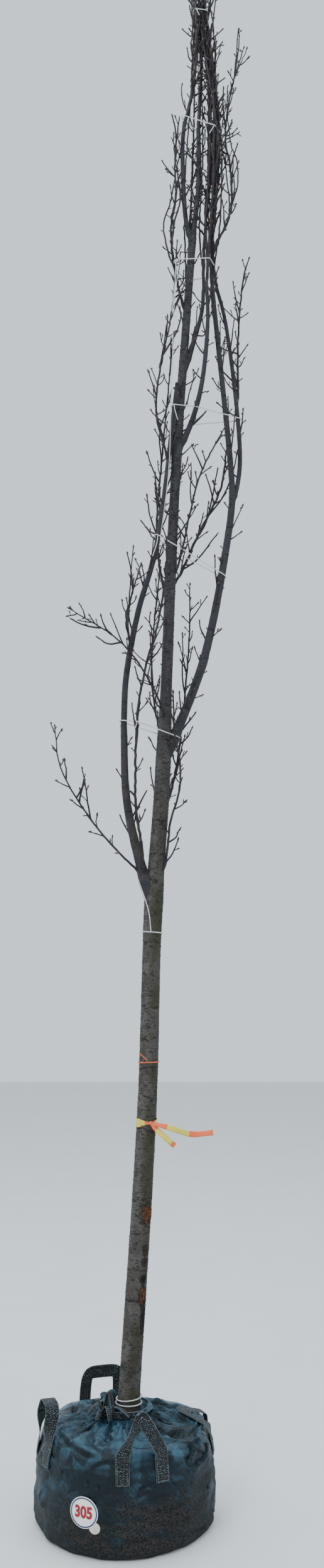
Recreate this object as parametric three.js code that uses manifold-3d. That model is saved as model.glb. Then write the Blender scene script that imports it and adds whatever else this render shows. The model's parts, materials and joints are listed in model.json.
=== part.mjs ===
// A young broad-leaved tree in its bare winter state, standing on its bagged root ball.
// Millimetres, +Z up. The front faces -Y, and the origin is the middle of the bag's flat underside.
import * as THREE from "three";
import { mergeVertices } from "three/addons/utils/BufferGeometryUtils.js";
import Module from "manifold-3d";

const wasm = await Module();
wasm.setup();

const GAP = 0.3; // between neighbouring pieces
const REST = 0.4; // between string or webbing and what it lies on
const DEGREE = Math.PI / 180;

// The filled bag round the root ball. Its wall is two quarter ellipses, which meet at the girth.
const BAG = {
  footRadius: 288,
  girthRadius: 300,
  girthHeight: 130,
  shoulderRadius: 270,
  shoulderHeight: 288,
  wallSteps: 4, // in each quarter ellipse
  // the cloth's rise from the shoulder to the neck, then the gathered neck: [radius, height]
  slope: [[220, 303], [150, 316], [95, 326], [80, 332]],
  neck: [[70, 350], [84, 368], [64, 370], [0, 362]],
  ruffRise: 40, // the gathered cloth stands this much higher on its left
  ruffAzimuth: -70,
  pleats: 9,
  pleatDepth: 4,
  lobes: 3, // the fill is uneven
  lobeDepth: 4,
  lobeTurn: 0.6,
  lobesFrom: 250, // the radius from which the lobes show in full
  sides: 36,
};
// The hollow round the trunk inside the gathered neck
const COLLAR = { radius: 51, right: 11, floor: 346, top: 466, sides: 20 };
const STRAP = {
  width: 45,
  thickness: 2.4,
  spread: 132, // between the middles of a handle's two legs
  foot: 214, // height of a leg's sewn end
  legTop: 274, // where a leg leaves the wall
  legSteps: 2,
  standOff: 6, // of the loop from the wall
  rise: 102, // from where the loop starts to the middle of its top
  loopSteps: 12,
};
const HANDLES = [
  { name: "handle_front", azimuth: 13, lean: 9, loopFoot: 296 },
  { name: "handle_right", azimuth: 97, lean: 66, loopFoot: 296 },
  { name: "handle_back", azimuth: 199, lean: 10, loopFoot: 280 },
  { name: "handle_left", azimuth: -72, lean: 18, loopFoot: 292 },
];
const DRAWSTRING = {
  height: 332.8, // of the lower edge of the ring round the neck
  width: 22,
  thickness: 3,
  slack: 8,
  sides: 20,
  knotAzimuth: -35,
  endWidth: 17.6,
  ends: [
    { azimuth: -55, length: 95, rise: 40 },
    { azimuth: 15, length: 84, rise: 20 },
  ],
  endFall: 0.92, // how much of a half wave an end's arch goes through
  endSteps: 6,
};
const TAG = { radius: 49, thickness: 1, azimuth: -23, height: 134, sides: 32 };

// The trunk: [height, right of the origin, forward], and [height, diameter]
const TRUNK = {
  bends: [
    [300, 8, 0], [1310, 71, 4], [2004, 92, 0], [2451, 123, -4], [3300, 158, 4], [3824, 184, 4],
    [4770, 250, 0],
  ],
  diameters: [
    [300, 98], [345, 80], [420, 73], [940, 70], [1900, 66], [2050, 71], [2170, 61], [2600, 57],
    [2840, 44], [3640, 38], [3830, 41], [3970, 35], [4700, 30], [4770, 33],
  ],
  sides: 12,
  step: 180,
};

// Boughs. Each runs from inside its parent through its bends, [height, right, forward], and tapers
// from its foot's diameter to its tip's. `beside` is a limb that starts next to it.
const BOUGHS = [
  {
    name: "bough_left_lower", parent: "trunk",
    bends: [[2010, 92, 0], [2400, -3, 30], [2700, -18, 47]],
    diameters: [37, 24.5], spurs: 4,
  },
  {
    name: "bough_left_upper", parent: "bough_left_lower",
    bends: [[2700, -18, 47], [2883, -10, 54], [3139, 34, 58], [3400, 102, 52], [4097, 184, 36]],
    diameters: [24.5, 15.5], spurs: 9,
  },
  {
    name: "bough_right_lower", parent: "trunk",
    bends: [[2560, 128, -2], [2972, 283, -20], [3506, 387, -44], [3650, 404, -48]],
    diameters: [35, 27], spurs: 8,
  },
  {
    name: "bough_right_inner", parent: "bough_right_lower",
    bends: [[3620, 401, -46], [3720, 402, -50], [4560, 329, -20]],
    diameters: [24, 19], spurs: 6,
  },
  {
    name: "bough_right_outer", parent: "bough_right_lower", beside: "bough_right_inner",
    bends: [[3625, 401, -48], [3718, 426, -62], [3857, 437, -66], [4439, 385, -74], [4600, 350, -78]],
    diameters: [19, 14.5], spurs: 6,
  },
  {
    name: "bough_upper_right", parent: "trunk",
    bends: [[3820, 184, 4], [3929, 236, 14], [4096, 281, 22], [4372, 308, 30], [4545, 304, 34]],
    diameters: [22, 14], spurs: 5,
  },
  {
    name: "bough_top_right", parent: "trunk",
    bends: [[4140, 206, 4], [4441, 286, -8], [4540, 293, -10]],
    diameters: [19.5, 14.5], spurs: 3,
  },
  {
    name: "bough_back_lower", parent: "trunk",
    bends: [[2240, 110, 0], [2420, 122, -62], [2760, 128, -118], [3080, 136, -142]],
    diameters: [29, 20], spurs: 6,
  },
  {
    name: "bough_back_upper", parent: "bough_back_lower",
    bends: [[3080, 136, -142], [3420, 148, -146], [4180, 200, -98]],
    diameters: [20, 13], spurs: 8,
  },
  {
    name: "leader_left", parent: "trunk",
    bends: [[4750, 248, 2], [4822, 226, 10], [5190, 210, 16], [5300, 219, 18]],
    diameters: [20, 17], spurs: 4,
  },
  {
    name: "leader_right", parent: "trunk", beside: "leader_left",
    bends: [[4750, 250, 0], [5067, 279, -14], [5300, 277, -18]],
    diameters: [20.5, 18], spurs: 4,
  },
];

// Masses of twigs. Each grows from one stem, which starts inside its parent; twigs leave the stem
// by a seeded rule, as far out as `reach`, where they stay clear of every other piece.
const MASSES = [
  {
    name: "twigs_left_low", parent: "bough_left_lower",
    bends: [[2150, 46, 14], [2241, -49, 42], [2348, -138, 50], [2541, -251, 40], [2698, -276, 40]],
    diameters: [9, 4], twigs: 13, reach: 90, seed: 11,
  },
  {
    name: "twigs_left_arm", parent: "trunk",
    bends: [[2700, 138, 0], [2797, 113, 46], [2994, -15, 94], [3138, -220, 96]],
    diameters: [9, 4.5], twigs: 13, reach: 100, seed: 12,
  },
  {
    name: "twigs_left_companion", parent: "bough_left_lower",
    bends: [
      [2110, 62, 8], [2243, 51, 66], [2382, 29, 84], [2758, 38, 96], [2900, 62, 112],
      [3073, 107, 104], [3330, 148, 78],
    ],
    diameters: [11, 8], twigs: 14, reach: 90, seed: 13,
  },
  {
    name: "twigs_left_spray", parent: "bough_left_upper",
    bends: [[3000, 8, 58], [3063, -4, 92], [3168, 6, 100], [3308, 44, 104]],
    diameters: [9.5, 5], twigs: 8, reach: 110, seed: 14,
  },
  {
    name: "twigs_right_stem", parent: "trunk",
    bends: [
      [2090, 98, 0], [2190, 137, 16], [2334, 154, 26], [2463, 190, 34], [2571, 190, 40],
      [2640, 175, 44], [2827, 166, 42],
    ],
    diameters: [10, 6], twigs: 11, reach: 90, seed: 15,
  },
  {
    name: "twigs_right_slant", parent: "trunk",
    bends: [[3250, 156, 2], [3330, 196, -46], [3501, 262, -92], [3735, 364, -122], [3895, 387, -126]],
    diameters: [11.5, 8], twigs: 11, reach: 90, seed: 16,
  },
  {
    name: "twigs_right_thin", parent: "trunk",
    bends: [[3280, 158, 4], [3347, 188, 24], [3700, 272, 46], [3892, 367, 60]],
    diameters: [9, 5.5], twigs: 10, reach: 80, seed: 17,
  },
  {
    name: "twigs_left_high", parent: "bough_left_upper",
    bends: [
      [3760, 150, 44], [3831, 128, 68], [3934, 103, 76], [4071, 108, 78], [4420, 166, 60],
      [4720, 186, 46],
    ],
    diameters: [9, 5], twigs: 13, reach: 80, seed: 18,
  },
  {
    name: "twigs_left_arc", parent: "trunk",
    bends: [
      [4420, 221, 2], [4569, 184, 14], [4813, 161, 26], [4930, 180, 30], [5110, 178, 40],
      [5300, 196, 44],
    ],
    diameters: [11, 6], twigs: 11, reach: 70, seed: 19,
  },
  {
    name: "twigs_right_side", parent: "bough_right_outer",
    bends: [[4020, 424, -68], [4110, 432, -78], [4360, 437, -86], [4646, 463, -80], [4731, 486, -78]],
    diameters: [10.5, 6], twigs: 11, reach: 80, seed: 20,
  },
  {
    name: "twigs_right_loop", parent: "twigs_sheaf_middle",
    bends: [
      [4690, 330, -6], [4735, 348, 14], [4868, 404, 22], [5112, 404, 22], [5199, 388, 24],
      [5431, 412, 26], [5655, 470, 24],
    ],
    diameters: [11, 5], twigs: 13, reach: 80, seed: 21,
  },
  {
    name: "twigs_sheaf_left", parent: "bough_top_right",
    bends: [
      [4530, 293, -10], [4712, 296, -12], [5151, 322, -16], [5680, 312, -6], [5918, 284, -10],
      [6260, 268, -8],
    ],
    diameters: [14.5, 5.5], twigs: 16, reach: 85, seed: 22,
  },
  {
    name: "twigs_sheaf_front", parent: "bough_upper_right",
    bends: [[4535, 304, 34], [5151, 340, 30], [5680, 330, 22], [5918, 304, 18], [6340, 300, 14]],
    diameters: [14, 5.5], twigs: 16, reach: 85, seed: 23,
  },
  {
    name: "twigs_sheaf_middle", parent: "bough_right_inner",
    bends: [
      [4550, 330, -20], [4712, 328, -12], [4886, 342, 2], [5151, 360, 2], [5500, 352, 0],
      [5918, 308, -10], [6160, 316, -8],
    ],
    diameters: [18.5, 5.5], twigs: 14, reach: 85, seed: 24,
  },
  {
    name: "twigs_sheaf_back", parent: "bough_right_outer",
    bends: [[4590, 352, -78], [4712, 338, -72], [5430, 346, -48], [5950, 306, -36], [6240, 310, -40]],
    diameters: [14, 5.5], twigs: 14, reach: 85, seed: 25,
  },
  {
    name: "twigs_leader_left", parent: "leader_left",
    bends: [[5290, 218, 18], [5426, 248, 20], [5700, 272, 24], [6200, 252, 22], [6640, 262, 10]],
    diameters: [16.5, 4.5], twigs: 21, reach: 90, seed: 26,
  },
  {
    name: "twigs_leader_right", parent: "leader_right",
    bends: [[5290, 277, -18], [5627, 292, -26], [5944, 286, -32], [6780, 284, -14]],
    diameters: [17.5, 4.5], twigs: 21, reach: 90, seed: 27,
  },
  {
    name: "twigs_back_low", parent: "bough_back_lower",
    bends: [
      [2640, 126, -104], [2760, 108, -176], [2940, 84, -214], [3180, 92, -226],
      [3420, 118, -214],
    ],
    diameters: [10, 5], twigs: 13, reach: 90, seed: 28,
  },
  {
    name: "twigs_back_right", parent: "trunk",
    bends: [[2330, 116, 0], [2480, 160, -70], [2640, 190, -112], [3100, 232, -156], [3330, 236, -160]],
    diameters: [11, 5], twigs: 13, reach: 90, seed: 29,
  },
  {
    name: "twigs_back_left", parent: "trunk",
    bends: [[3180, 156, 2], [3330, 120, -56], [3560, 104, -86], [3840, 124, -96], [4380, 172, -66]],
    diameters: [11, 5], twigs: 13, reach: 85, seed: 30,
  },
  {
    name: "twigs_back_high", parent: "bough_back_upper",
    bends: [[4170, 200, -98], [4420, 218, -86], [5460, 262, -62], [6100, 250, -58]],
    diameters: [12.5, 5], twigs: 19, reach: 90, seed: 31,
  },
];

// String tied round the limbs: the height at its middle, its rise for each mm to the right,
// and the limbs that it holds together
const STRING = {
  radius: 2.6,
  slack: 0.04, // between the string and a limb that it holds, as a share of the limb's radius
  turns: 60,
  thinning: 4, // only every fourth turn is kept where the string bends round one limb
  sides: 4,
  tailRadius: 2.1,
  tailSteps: 4,
  knee: { right: 0.2, up: 0.4 }, // where a tail bends, as shares of its reach
};
const TIES = [
  { name: "tie_foot_low", height: 360, slope: 0, round: ["trunk"] },
  { name: "tie_foot_high", height: 376, slope: 0.1, round: ["trunk"] },
  { name: "tie_fork", height: 1936, slope: -0.06, round: ["trunk"], tail: [-48, 12, 190] },
  {
    name: "tie_low", height: 2678, slope: -0.24,
    round: ["trunk", "bough_left_lower", "twigs_left_companion", "bough_right_lower"],
    tail: [-26, 16, -60],
  },
  {
    name: "tie_slant", height: 3420, slope: -0.5,
    round: ["trunk", "bough_left_upper", "bough_right_lower", "twigs_right_thin"],
    tail: [-20, 12, -90],
  },
  {
    name: "tie_middle", height: 4000, slope: 0,
    round: [
      "bough_left_upper", "trunk", "bough_right_inner", "bough_right_outer",
      "bough_upper_right", "bough_back_upper",
    ],
    tail: [14, 10, -70],
  },
  {
    name: "tie_sheaf", height: 4640, slope: 0.12,
    round: [
      "trunk", "twigs_left_high", "twigs_left_arc", "twigs_sheaf_front",
      "twigs_sheaf_middle", "twigs_sheaf_back", "twigs_back_high",
    ],
    tail: [-16, 12, -240],
  },
  {
    name: "tie_leaders", height: 5322, slope: -0.42,
    round: [
      "leader_left", "leader_right", "twigs_leader_left", "twigs_leader_right",
      "twigs_sheaf_middle", "twigs_sheaf_back", "twigs_sheaf_front",
    ],
    tail: [-20, 10, -46],
  },
  {
    name: "tie_top", height: 5842, slope: 0,
    round: [
      "twigs_leader_left", "twigs_leader_right", "twigs_sheaf_front", "twigs_sheaf_middle",
      "twigs_sheaf_back",
    ],
    tail: [12, 8, -40],
  },
];
const ORANGE_STRING = {
  name: "tie_orange",
  height: 1478,
  slope: 0.03,
  round: ["trunk"],
  tail: [-30, 20, 34],
};
const RIBBON = {
  height: 1272,
  width: 24,
  thickness: 0.8,
  slack: 1.6,
  sides: 20,
  knotRadius: 6,
  knotOff: 4.2, // from the ribbon's face to the middle of its knot
  knotAzimuth: 22,
  tailThickness: 1.2,
  tailSteps: 5,
  // places on a tail from the knot out: [right, forward, up]
  tails: [
    { width: 14, places: [[0, 0, 0], [64, 7, -14], [140, 5, -36], [218, -3, -32]] },
    { width: 19, places: [[0, 0, 0], [34, 10, -32], [84, 14, -74]] },
  ],
};

// How twigs leave a stem: alternately, turned by the golden angle, and bending up
const TURN = 137.5 * DEGREE;
const TWIG = {
  leave: [28, 52], // degrees off the stem
  lift: 0.45, // how far a twig bends towards upright
  radius: 0.9,
  thicker: 0.018, // more radius for each mm of length
  most: 0.8, // radius, as a share of the stem's
  sides: 3,
  knee: { place: 0.45, radius: 0.8 }, // halfway, as shares
  clear: 1.2, // least distance to any other piece
  from: 0.1, // the bare share of a limb above its foot
  spacing: [0.2, 0.8], // where a twig leaves within its own share of the limb
  fullness: [0.22, 0.9], // the part of a half wave that the twigs' lengths follow along a limb
  straight: 60, // a twig shorter than this has no knee
  tries: 4,
  retry: 0.4, // of a turn, at each further try
};
const SPUR_LENGTHS = [28, 75];
const BOUGH = { sides: 7, step: 130 };
const STEM = { sides: 4, step: 170 };
const FEWEST_STEPS = 4;

// Colours from the tree
const COLOURS = {
  bark: 0x6d675c,
  twigs: 0x5a5049,
  bag: 0x1d2f3a,
  webbing: 0x2f4038,
  tag: 0xf1efe6,
  string: 0xe9e6dc,
  orange: 0xd9772b,
  ribbon: 0xe6c53a,
};
const FINISHES = {
  bark: { roughness: 0.8 },
  twigs: { roughness: 0.7 },
  bag: { roughness: 0.45 },
  webbing: { roughness: 0.85 },
  tag: { roughness: 0.4 },
  string: { roughness: 0.8 },
  orange: { roughness: 0.75 },
  ribbon: { roughness: 0.5 },
};

// A repeatable row of numbers between 0 and 1
function seeded(seed) {
  let state = seed * 2654435761;
  return () => {
    state = (Math.imul(state ^ (state >>> 15), 1 | state) + 0x6d2b79f5) | 0;
    const mixed = Math.imul(state ^ (state >>> 7), 61 | state) ^ state;
    return ((mixed ^ (mixed >>> 14)) >>> 0) / 4294967296;
  };
}

function between([low, high], share) {
  return low + (high - low) * share;
}

// The value at `place` of a table of [place, value] pairs
function tableAt(table, place) {
  const next = table.findIndex(([start]) => start >= place);
  if (next <= 0) return table[next === 0 ? 0 : table.length - 1][1];
  const [[lowPlace, low], [highPlace, high]] = [table[next - 1], table[next]];
  return between([low, high], (place - lowPlace) / (highPlace - lowPlace));
}

function solidOf(geometry) {
  geometry.deleteAttribute("normal");
  geometry.deleteAttribute("uv");
  const merged = mergeVertices(geometry, 1e-4);
  const solid = new wasm.Manifold(
    new wasm.Mesh({
      numProp: 3,
      vertProperties: new Float32Array(merged.attributes.position.array),
      triVerts: new Uint32Array(merged.index.array),
    }),
  );
  if (solid.volume() > 0) return solid;
  throw new Error("a solid is inside out");
}

function geometryOf(solid) {
  const mesh = solid.getMesh();
  return new THREE.BufferGeometry()
    .setAttribute("position", new THREE.BufferAttribute(mesh.vertProperties, 3))
    .setIndex(new THREE.BufferAttribute(mesh.triVerts, 1));
}

function largestBody(solid) {
  return solid.decompose().reduce((best, body) => (body.volume() > best.volume() ? body : best));
}

// Moves each vertex of a geometry that stands on its Y axis from 0 to 1: its height picks a frame,
// and its X and Z become distances along that frame's sides.
function bend(geometry, frames) {
  const position = geometry.attributes.position;
  const point = new THREE.Vector3();
  for (let i = 0; i < position.count; i += 1) {
    const frame = frames[Math.round(position.getY(i) * (frames.length - 1))];
    point.copy(frame.centre);
    point.addScaledVector(frame.across, position.getX(i));
    point.addScaledVector(frame.out, position.getZ(i));
    position.setXYZ(i, point.x, point.y, point.z);
  }
  return geometry;
}

// A frame at a point of a limb. No limb runs straight towards the front or back.
function frameAt(centre, along) {
  const across = new THREE.Vector3(0, 1, 0).cross(along).normalize();
  return { centre, across, out: across.clone().cross(along) };
}

// Stations along a curve, with the way the curve runs there and the limb's radius
function stationsOn(curve, shares, radiusAt) {
  return shares.map((share) => ({
    centre: curve.getPointAt(share),
    along: curve.getTangentAt(share),
    radius: radiusAt(share),
  }));
}

// A round limb: turned on a lathe to its stations' radii, then bent along them. `extra` makes it
// thicker all round and longer at both ends.
function tube(stations, sides, extra = 0) {
  const last = stations.length - 1;
  const profile = stations.map(({ radius }, i) => new THREE.Vector2(radius + extra, i / last));
  const frames = stations.map(({ centre, along }, i) => {
    const shift = i === 0 ? -extra : i === last ? extra : 0;
    return frameAt(centre.clone().addScaledVector(along, shift), along);
  });
  const closed = [new THREE.Vector2(0, 0), ...profile, new THREE.Vector2(0, 1)];
  return solidOf(bend(new THREE.LatheGeometry(closed, sides), frames));
}

// A closed ring of string through stations that give its middle and the way out of the ring. It
// starts as a wide torus, and how far a vertex is from that torus's middle line is kept.
function ring(stations, radius, sides) {
  const wide = 1000;
  const torus = new THREE.TorusGeometry(wide, radius, sides, stations.length);
  const position = torus.attributes.position;
  for (let i = 0; i < position.count; i += 1) {
    const [x, y, z] = [position.getX(i), position.getY(i), position.getZ(i)];
    const turn = Math.round((Math.atan2(y, x) / (2 * Math.PI)) * stations.length);
    const { centre, out } = stations[(turn + stations.length) % stations.length];
    const off = Math.hypot(x, y) - wide;
    position.setXYZ(i, centre.x + out.x * off, centre.y + out.y * off, centre.z + z);
  }
  return solidOf(torus);
}

// A flat hoop round the Z axis, from height 0 up
function hoop(inner, thickness, width, sides) {
  const corners = [
    [inner, 0],
    [inner + thickness, 0],
    [inner + thickness, width],
    [inner, width],
    [inner, 0],
  ];
  const lathe = new THREE.LatheGeometry(corners.map(([r, z]) => new THREE.Vector2(r, z)), sides);
  return lathe.rotateX(Math.PI / 2);
}

function evenShares(steps) {
  return Array.from({ length: steps + 1 }, (_, i) => i / steps);
}

// A flat band through frames that give its middle, the way across it and the way off its face
function band(frames, width, thickness) {
  const box = new THREE.BoxGeometry(width, 1, thickness, 1, frames.length - 1, 1);
  box.translate(0, 0.5, 0);
  return solidOf(bend(box, frames));
}

function curveThrough(points) {
  return new THREE.CatmullRomCurve3(points, false, "centripetal");
}

// The tables give height, right and forward; the frame is right, back and up
function pointOf([height, right, forward]) {
  return new THREE.Vector3(right, -forward, height);
}

// Straight stretches of everything placed so far, which new twigs must clear
const stretches = [];

function addStretches(owner, stations) {
  for (let i = 1; i < stations.length; i += 1) {
    const [from, to] = [stations[i - 1], stations[i]];
    const radius = Math.max(from.radius, to.radius);
    stretches.push({ owner, line: new THREE.Line3(from.centre, to.centre), radius });
  }
}

function withRadius(points, radius) {
  return points.map((centre) => ({ centre, radius }));
}

// The least distance between two straight stretches
function distanceBetween(first, second) {
  const d1 = first.delta(new THREE.Vector3());
  const d2 = second.delta(new THREE.Vector3());
  const r = first.start.clone().sub(second.start);
  const [a, e, f, b, c] = [d1.dot(d1), d2.dot(d2), d2.dot(r), d1.dot(d2), d1.dot(r)];
  const spread = a * e - b * b;
  let s = spread > 1e-9 ? THREE.MathUtils.clamp((b * f - c * e) / spread, 0, 1) : 0;
  const t = THREE.MathUtils.clamp((b * s + f) / e, 0, 1);
  s = THREE.MathUtils.clamp((b * t - c) / a, 0, 1);
  return first.at(s, new THREE.Vector3()).distanceTo(second.at(t, new THREE.Vector3()));
}

// A stem or limb: its stations, whose stretches new twigs must clear
function makeLimb({ name, bends, diameters, sides, step }) {
  const curve = curveThrough(bends.map(pointOf));
  curve.arcLengthDivisions = 400;
  const hasTable = Array.isArray(diameters[0]);
  const radiusAt = hasTable
    ? (share) => tableAt(diameters, curve.getPointAt(share).z) / 2
    : (share) => between(diameters, share) / 2;
  const steps = Math.max(FEWEST_STEPS, Math.round(curve.getLength() / step));
  const shares = hasTable ? tableShares(curve, diameters, step) : evenShares(steps);
  const stations = stationsOn(curve, shares, radiusAt);
  addStretches(name, stations);
  return { name, stations, sides };
}

// Stations at each height of a table of diameters, and at even steps between them
function tableShares(curve, diameters, step) {
  const pointAt = (share) => curve.getPointAt(share);
  const shares = [0];
  for (let i = 1; i < diameters.length; i += 1) {
    const [low, high] = [diameters[i - 1][0], diameters[i][0]];
    const parts = Math.ceil((high - low) / step);
    for (let j = 1; j <= parts; j += 1) {
      shares.push(shareAtHeight(pointAt, between([low, high], j / parts)));
    }
  }
  return [...shares.slice(0, -1), 1];
}

// The limb as a solid, `extra` mm larger all round
function limbSolid({ stations, sides }, extra = 0) {
  return tube(stations, sides, extra);
}

// A limb's middle, direction and radius at a share of its stations
function spotAt({ stations }, share) {
  const place = share * (stations.length - 1);
  const i = Math.min(Math.floor(place), stations.length - 2);
  const [from, to] = [stations[i], stations[i + 1]];
  return {
    centre: from.centre.clone().lerp(to.centre, place - i),
    along: to.centre.clone().sub(from.centre).normalize(),
    radius: between([from.radius, to.radius], place - i),
  };
}

// The share at which a rising line passes a height
function shareAtHeight(pointAt, height) {
  let [low, high] = [0, 1];
  for (let halving = 0; halving < 30; halving += 1) {
    const middle = (low + high) / 2;
    if (pointAt(middle).z < height) low = middle;
    else high = middle;
  }
  return low;
}

function spotAtHeight(limb, height) {
  return spotAt(limb, shareAtHeight((share) => spotAt(limb, share).centre, height));
}

// One twig: its points from inside the stem to its tip
function twigPoints({ centre, along, radius }, turn, length, leave) {
  const sideways = new THREE.Vector3(1, 0, 0).cross(along).normalize().applyAxisAngle(along, turn);
  const first = along.clone().multiplyScalar(Math.cos(leave)).addScaledVector(sideways, Math.sin(leave));
  if (length < TWIG.straight) return [centre, centre.clone().addScaledVector(first, radius + length)];
  const second = first.clone().addScaledVector(new THREE.Vector3(0, 0, 1), TWIG.lift).normalize();
  const knee = centre.clone().addScaledVector(first, radius + length * TWIG.knee.place);
  return [centre, knee, knee.clone().addScaledVector(second, length * (1 - TWIG.knee.place))];
}

function isClear(points, radius, owner) {
  for (let i = 1; i < points.length; i += 1) {
    const line = new THREE.Line3(points[i - 1], points[i]);
    const clash = stretches.some(
      (other) =>
        other.owner !== owner &&
        distanceBetween(line, other.line) < radius + other.radius + TWIG.clear,
    );
    if (clash) return false;
  }
  return true;
}

// Twigs along a limb from its bare foot to its tip. A twig that would touch another piece is
// turned a little, and skipped after a few tries.
function growTwigs(limb, count, lengths, seed) {
  const random = seeded(seed);
  const twigs = [];
  for (let i = 0; i < count; i += 1) {
    const share = between([TWIG.from, 1], (i + between(TWIG.spacing, random())) / count);
    const spot = spotAt(limb, share);
    const fullness = Math.sin(Math.PI * between(TWIG.fullness, share));
    const length = between(lengths, random() * fullness);
    const radius = Math.min(TWIG.radius + length * TWIG.thicker, spot.radius * TWIG.most);
    for (let attempt = 0; attempt < TWIG.tries; attempt += 1) {
      const leave = between(TWIG.leave, random()) * DEGREE;
      const points = twigPoints(spot, (i + attempt * TWIG.retry) * TURN, length, leave);
      if (!isClear(points, radius, limb.name)) continue;
      addStretches(limb.name, withRadius(points, radius));
      twigs.push(twigSolid(points, radius));
      break;
    }
  }
  return twigs;
}

// A three-sided twig. Its sides start from a direction that no twig runs along.
function twigSolid(points, radius) {
  const along = points.at(-1).clone().sub(points[0]).normalize();
  const across = new THREE.Vector3(0.2, 1, 0.3).cross(along).normalize();
  const out = across.clone().cross(along);
  const frames = points.map((centre) => ({ centre, across, out }));
  const profile = [new THREE.Vector2(0, 0), new THREE.Vector2(radius, 0)];
  if (points.length > 2) profile.push(new THREE.Vector2(radius * TWIG.knee.radius, 0.5));
  profile.push(new THREE.Vector2(0, 1));
  return solidOf(bend(new THREE.LatheGeometry(profile, TWIG.sides), frames));
}

// The bag

function azimuthPoint(azimuth, radius, height) {
  return new THREE.Vector3(Math.sin(azimuth) * radius, -Math.cos(azimuth) * radius, height);
}

// The wall's radius at a height
function wallRadius(height) {
  const above = height > BAG.girthHeight;
  const end = above ? BAG.shoulderRadius : BAG.footRadius;
  const far = above ? BAG.shoulderHeight - BAG.girthHeight : BAG.girthHeight;
  const share = Math.min(1, Math.abs(height - BAG.girthHeight) / far);
  return between([end, BAG.girthRadius], Math.sqrt(1 - share * share));
}

// The bag's outline, [radius, height], from the middle of its underside to the middle of its top
function bagOutline() {
  const turns = evenShares(BAG.wallSteps).map((share) => (share * Math.PI) / 2);
  const lower = turns.map((turn) => BAG.girthHeight * (1 - Math.cos(turn)));
  const rise = BAG.shoulderHeight - BAG.girthHeight;
  const upper = turns.slice(1).map((turn) => BAG.girthHeight + rise * Math.sin(turn));
  const wall = [...lower, ...upper].map((height) => [wallRadius(height), height]);
  return [[0, 0], ...wall, ...BAG.slope, ...BAG.neck];
}

function lobeAt(azimuth) {
  return BAG.lobeDepth * Math.cos(BAG.lobes * azimuth + BAG.lobeTurn);
}

function bagSolid(extra = 0) {
  const profile = bagOutline().map(([radius, z]) => new THREE.Vector2(radius, z));
  const lathe = new THREE.LatheGeometry(profile, BAG.sides).rotateX(Math.PI / 2);
  const neckHeight = BAG.neck[0][1];
  const ruffHeight = BAG.neck.at(-1)[1];
  const position = lathe.attributes.position;
  for (let i = 0; i < position.count; i += 1) {
    const [x, y, z] = [position.getX(i), position.getY(i), position.getZ(i)];
    const radius = Math.hypot(x, y);
    if (radius < 1) continue;
    const azimuth = Math.atan2(x, -y);
    const fold = BAG.pleatDepth * Math.cos(BAG.pleats * azimuth);
    const lobe = lobeAt(azimuth) * Math.min(1, radius / BAG.lobesFrom);
    const leftness = Math.max(0, Math.cos(azimuth - BAG.ruffAzimuth * DEGREE));
    const rise = z < ruffHeight ? 0 : BAG.ruffRise * leftness ** 2;
    const spot = azimuthPoint(azimuth, radius + extra + (z < neckHeight ? lobe : fold), z + rise);
    position.setXYZ(i, spot.x, spot.y, spot.z);
  }
  return solidOf(lathe);
}

// The route of a handle's middle line: up one leg, over the loop and down the other leg, as
// [sideways, height, rise above the loop's foot]
function handleRoute(loopFoot) {
  const half = STRAP.spread / 2;
  const heights = evenShares(STRAP.legSteps).map((share) => between([STRAP.foot, STRAP.legTop], share));
  const turns = evenShares(STRAP.loopSteps).map((share) => Math.PI * share);
  return [
    ...heights.map((height) => [half, height, 0]),
    ...turns.map((turn) => [half * Math.cos(turn), loopFoot, STRAP.rise * Math.sin(turn)]),
    ...heights.reverse().map((height) => [-half, height, 0]),
  ];
}

// A webbing handle: two legs sewn flat on the wall, joined by a loop that leans inwards
function handleSolid({ azimuth, lean, loopFoot }) {
  const offWall = REST + STRAP.thickness / 2;
  const spots = handleRoute(loopFoot).map(([sideways, height, up]) => {
    const turned = azimuth * DEGREE + sideways / BAG.girthRadius;
    const onLeg = height <= STRAP.legTop;
    const wall = wallRadius(onLeg ? height : STRAP.legTop) + lobeAt(turned) + offWall;
    const tilt = up > 0 ? lean * DEGREE : 0;
    const radius = wall + (onLeg ? 0 : STRAP.standOff) - up * Math.sin(tilt);
    return {
      centre: azimuthPoint(turned, radius, height + up * Math.cos(tilt)),
      face: azimuthPoint(turned, Math.cos(tilt), Math.sin(tilt)),
    };
  });
  const frames = spots.map(({ centre, face }, i) => {
    const before = spots[Math.max(0, i - 1)].centre;
    const after = spots[Math.min(spots.length - 1, i + 1)].centre;
    const along = after.clone().sub(before).normalize();
    const across = along.clone().cross(face).normalize();
    return { centre, across, out: across.clone().cross(along) };
  });
  return band(frames, STRAP.width, STRAP.thickness);
}

// The drawstring: a webbing ring round the neck, with two ends that leave its knot
function drawstringSolid() {
  const inner = BAG.neck[0][0] + BAG.pleatDepth + DRAWSTRING.slack;
  const loop = hoop(inner, DRAWSTRING.thickness, DRAWSTRING.width, DRAWSTRING.sides);
  loop.translate(0, 0, DRAWSTRING.height);
  const middle = DRAWSTRING.height + DRAWSTRING.width / 2;
  const knot = azimuthPoint(DRAWSTRING.knotAzimuth * DEGREE, inner + DRAWSTRING.thickness, middle);
  const ends = DRAWSTRING.ends.map((end) =>
    band(endFrames(knot, end), DRAWSTRING.endWidth, DRAWSTRING.thickness),
  );
  return ends.reduce((whole, end) => whole.add(end), solidOf(loop));
}

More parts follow.
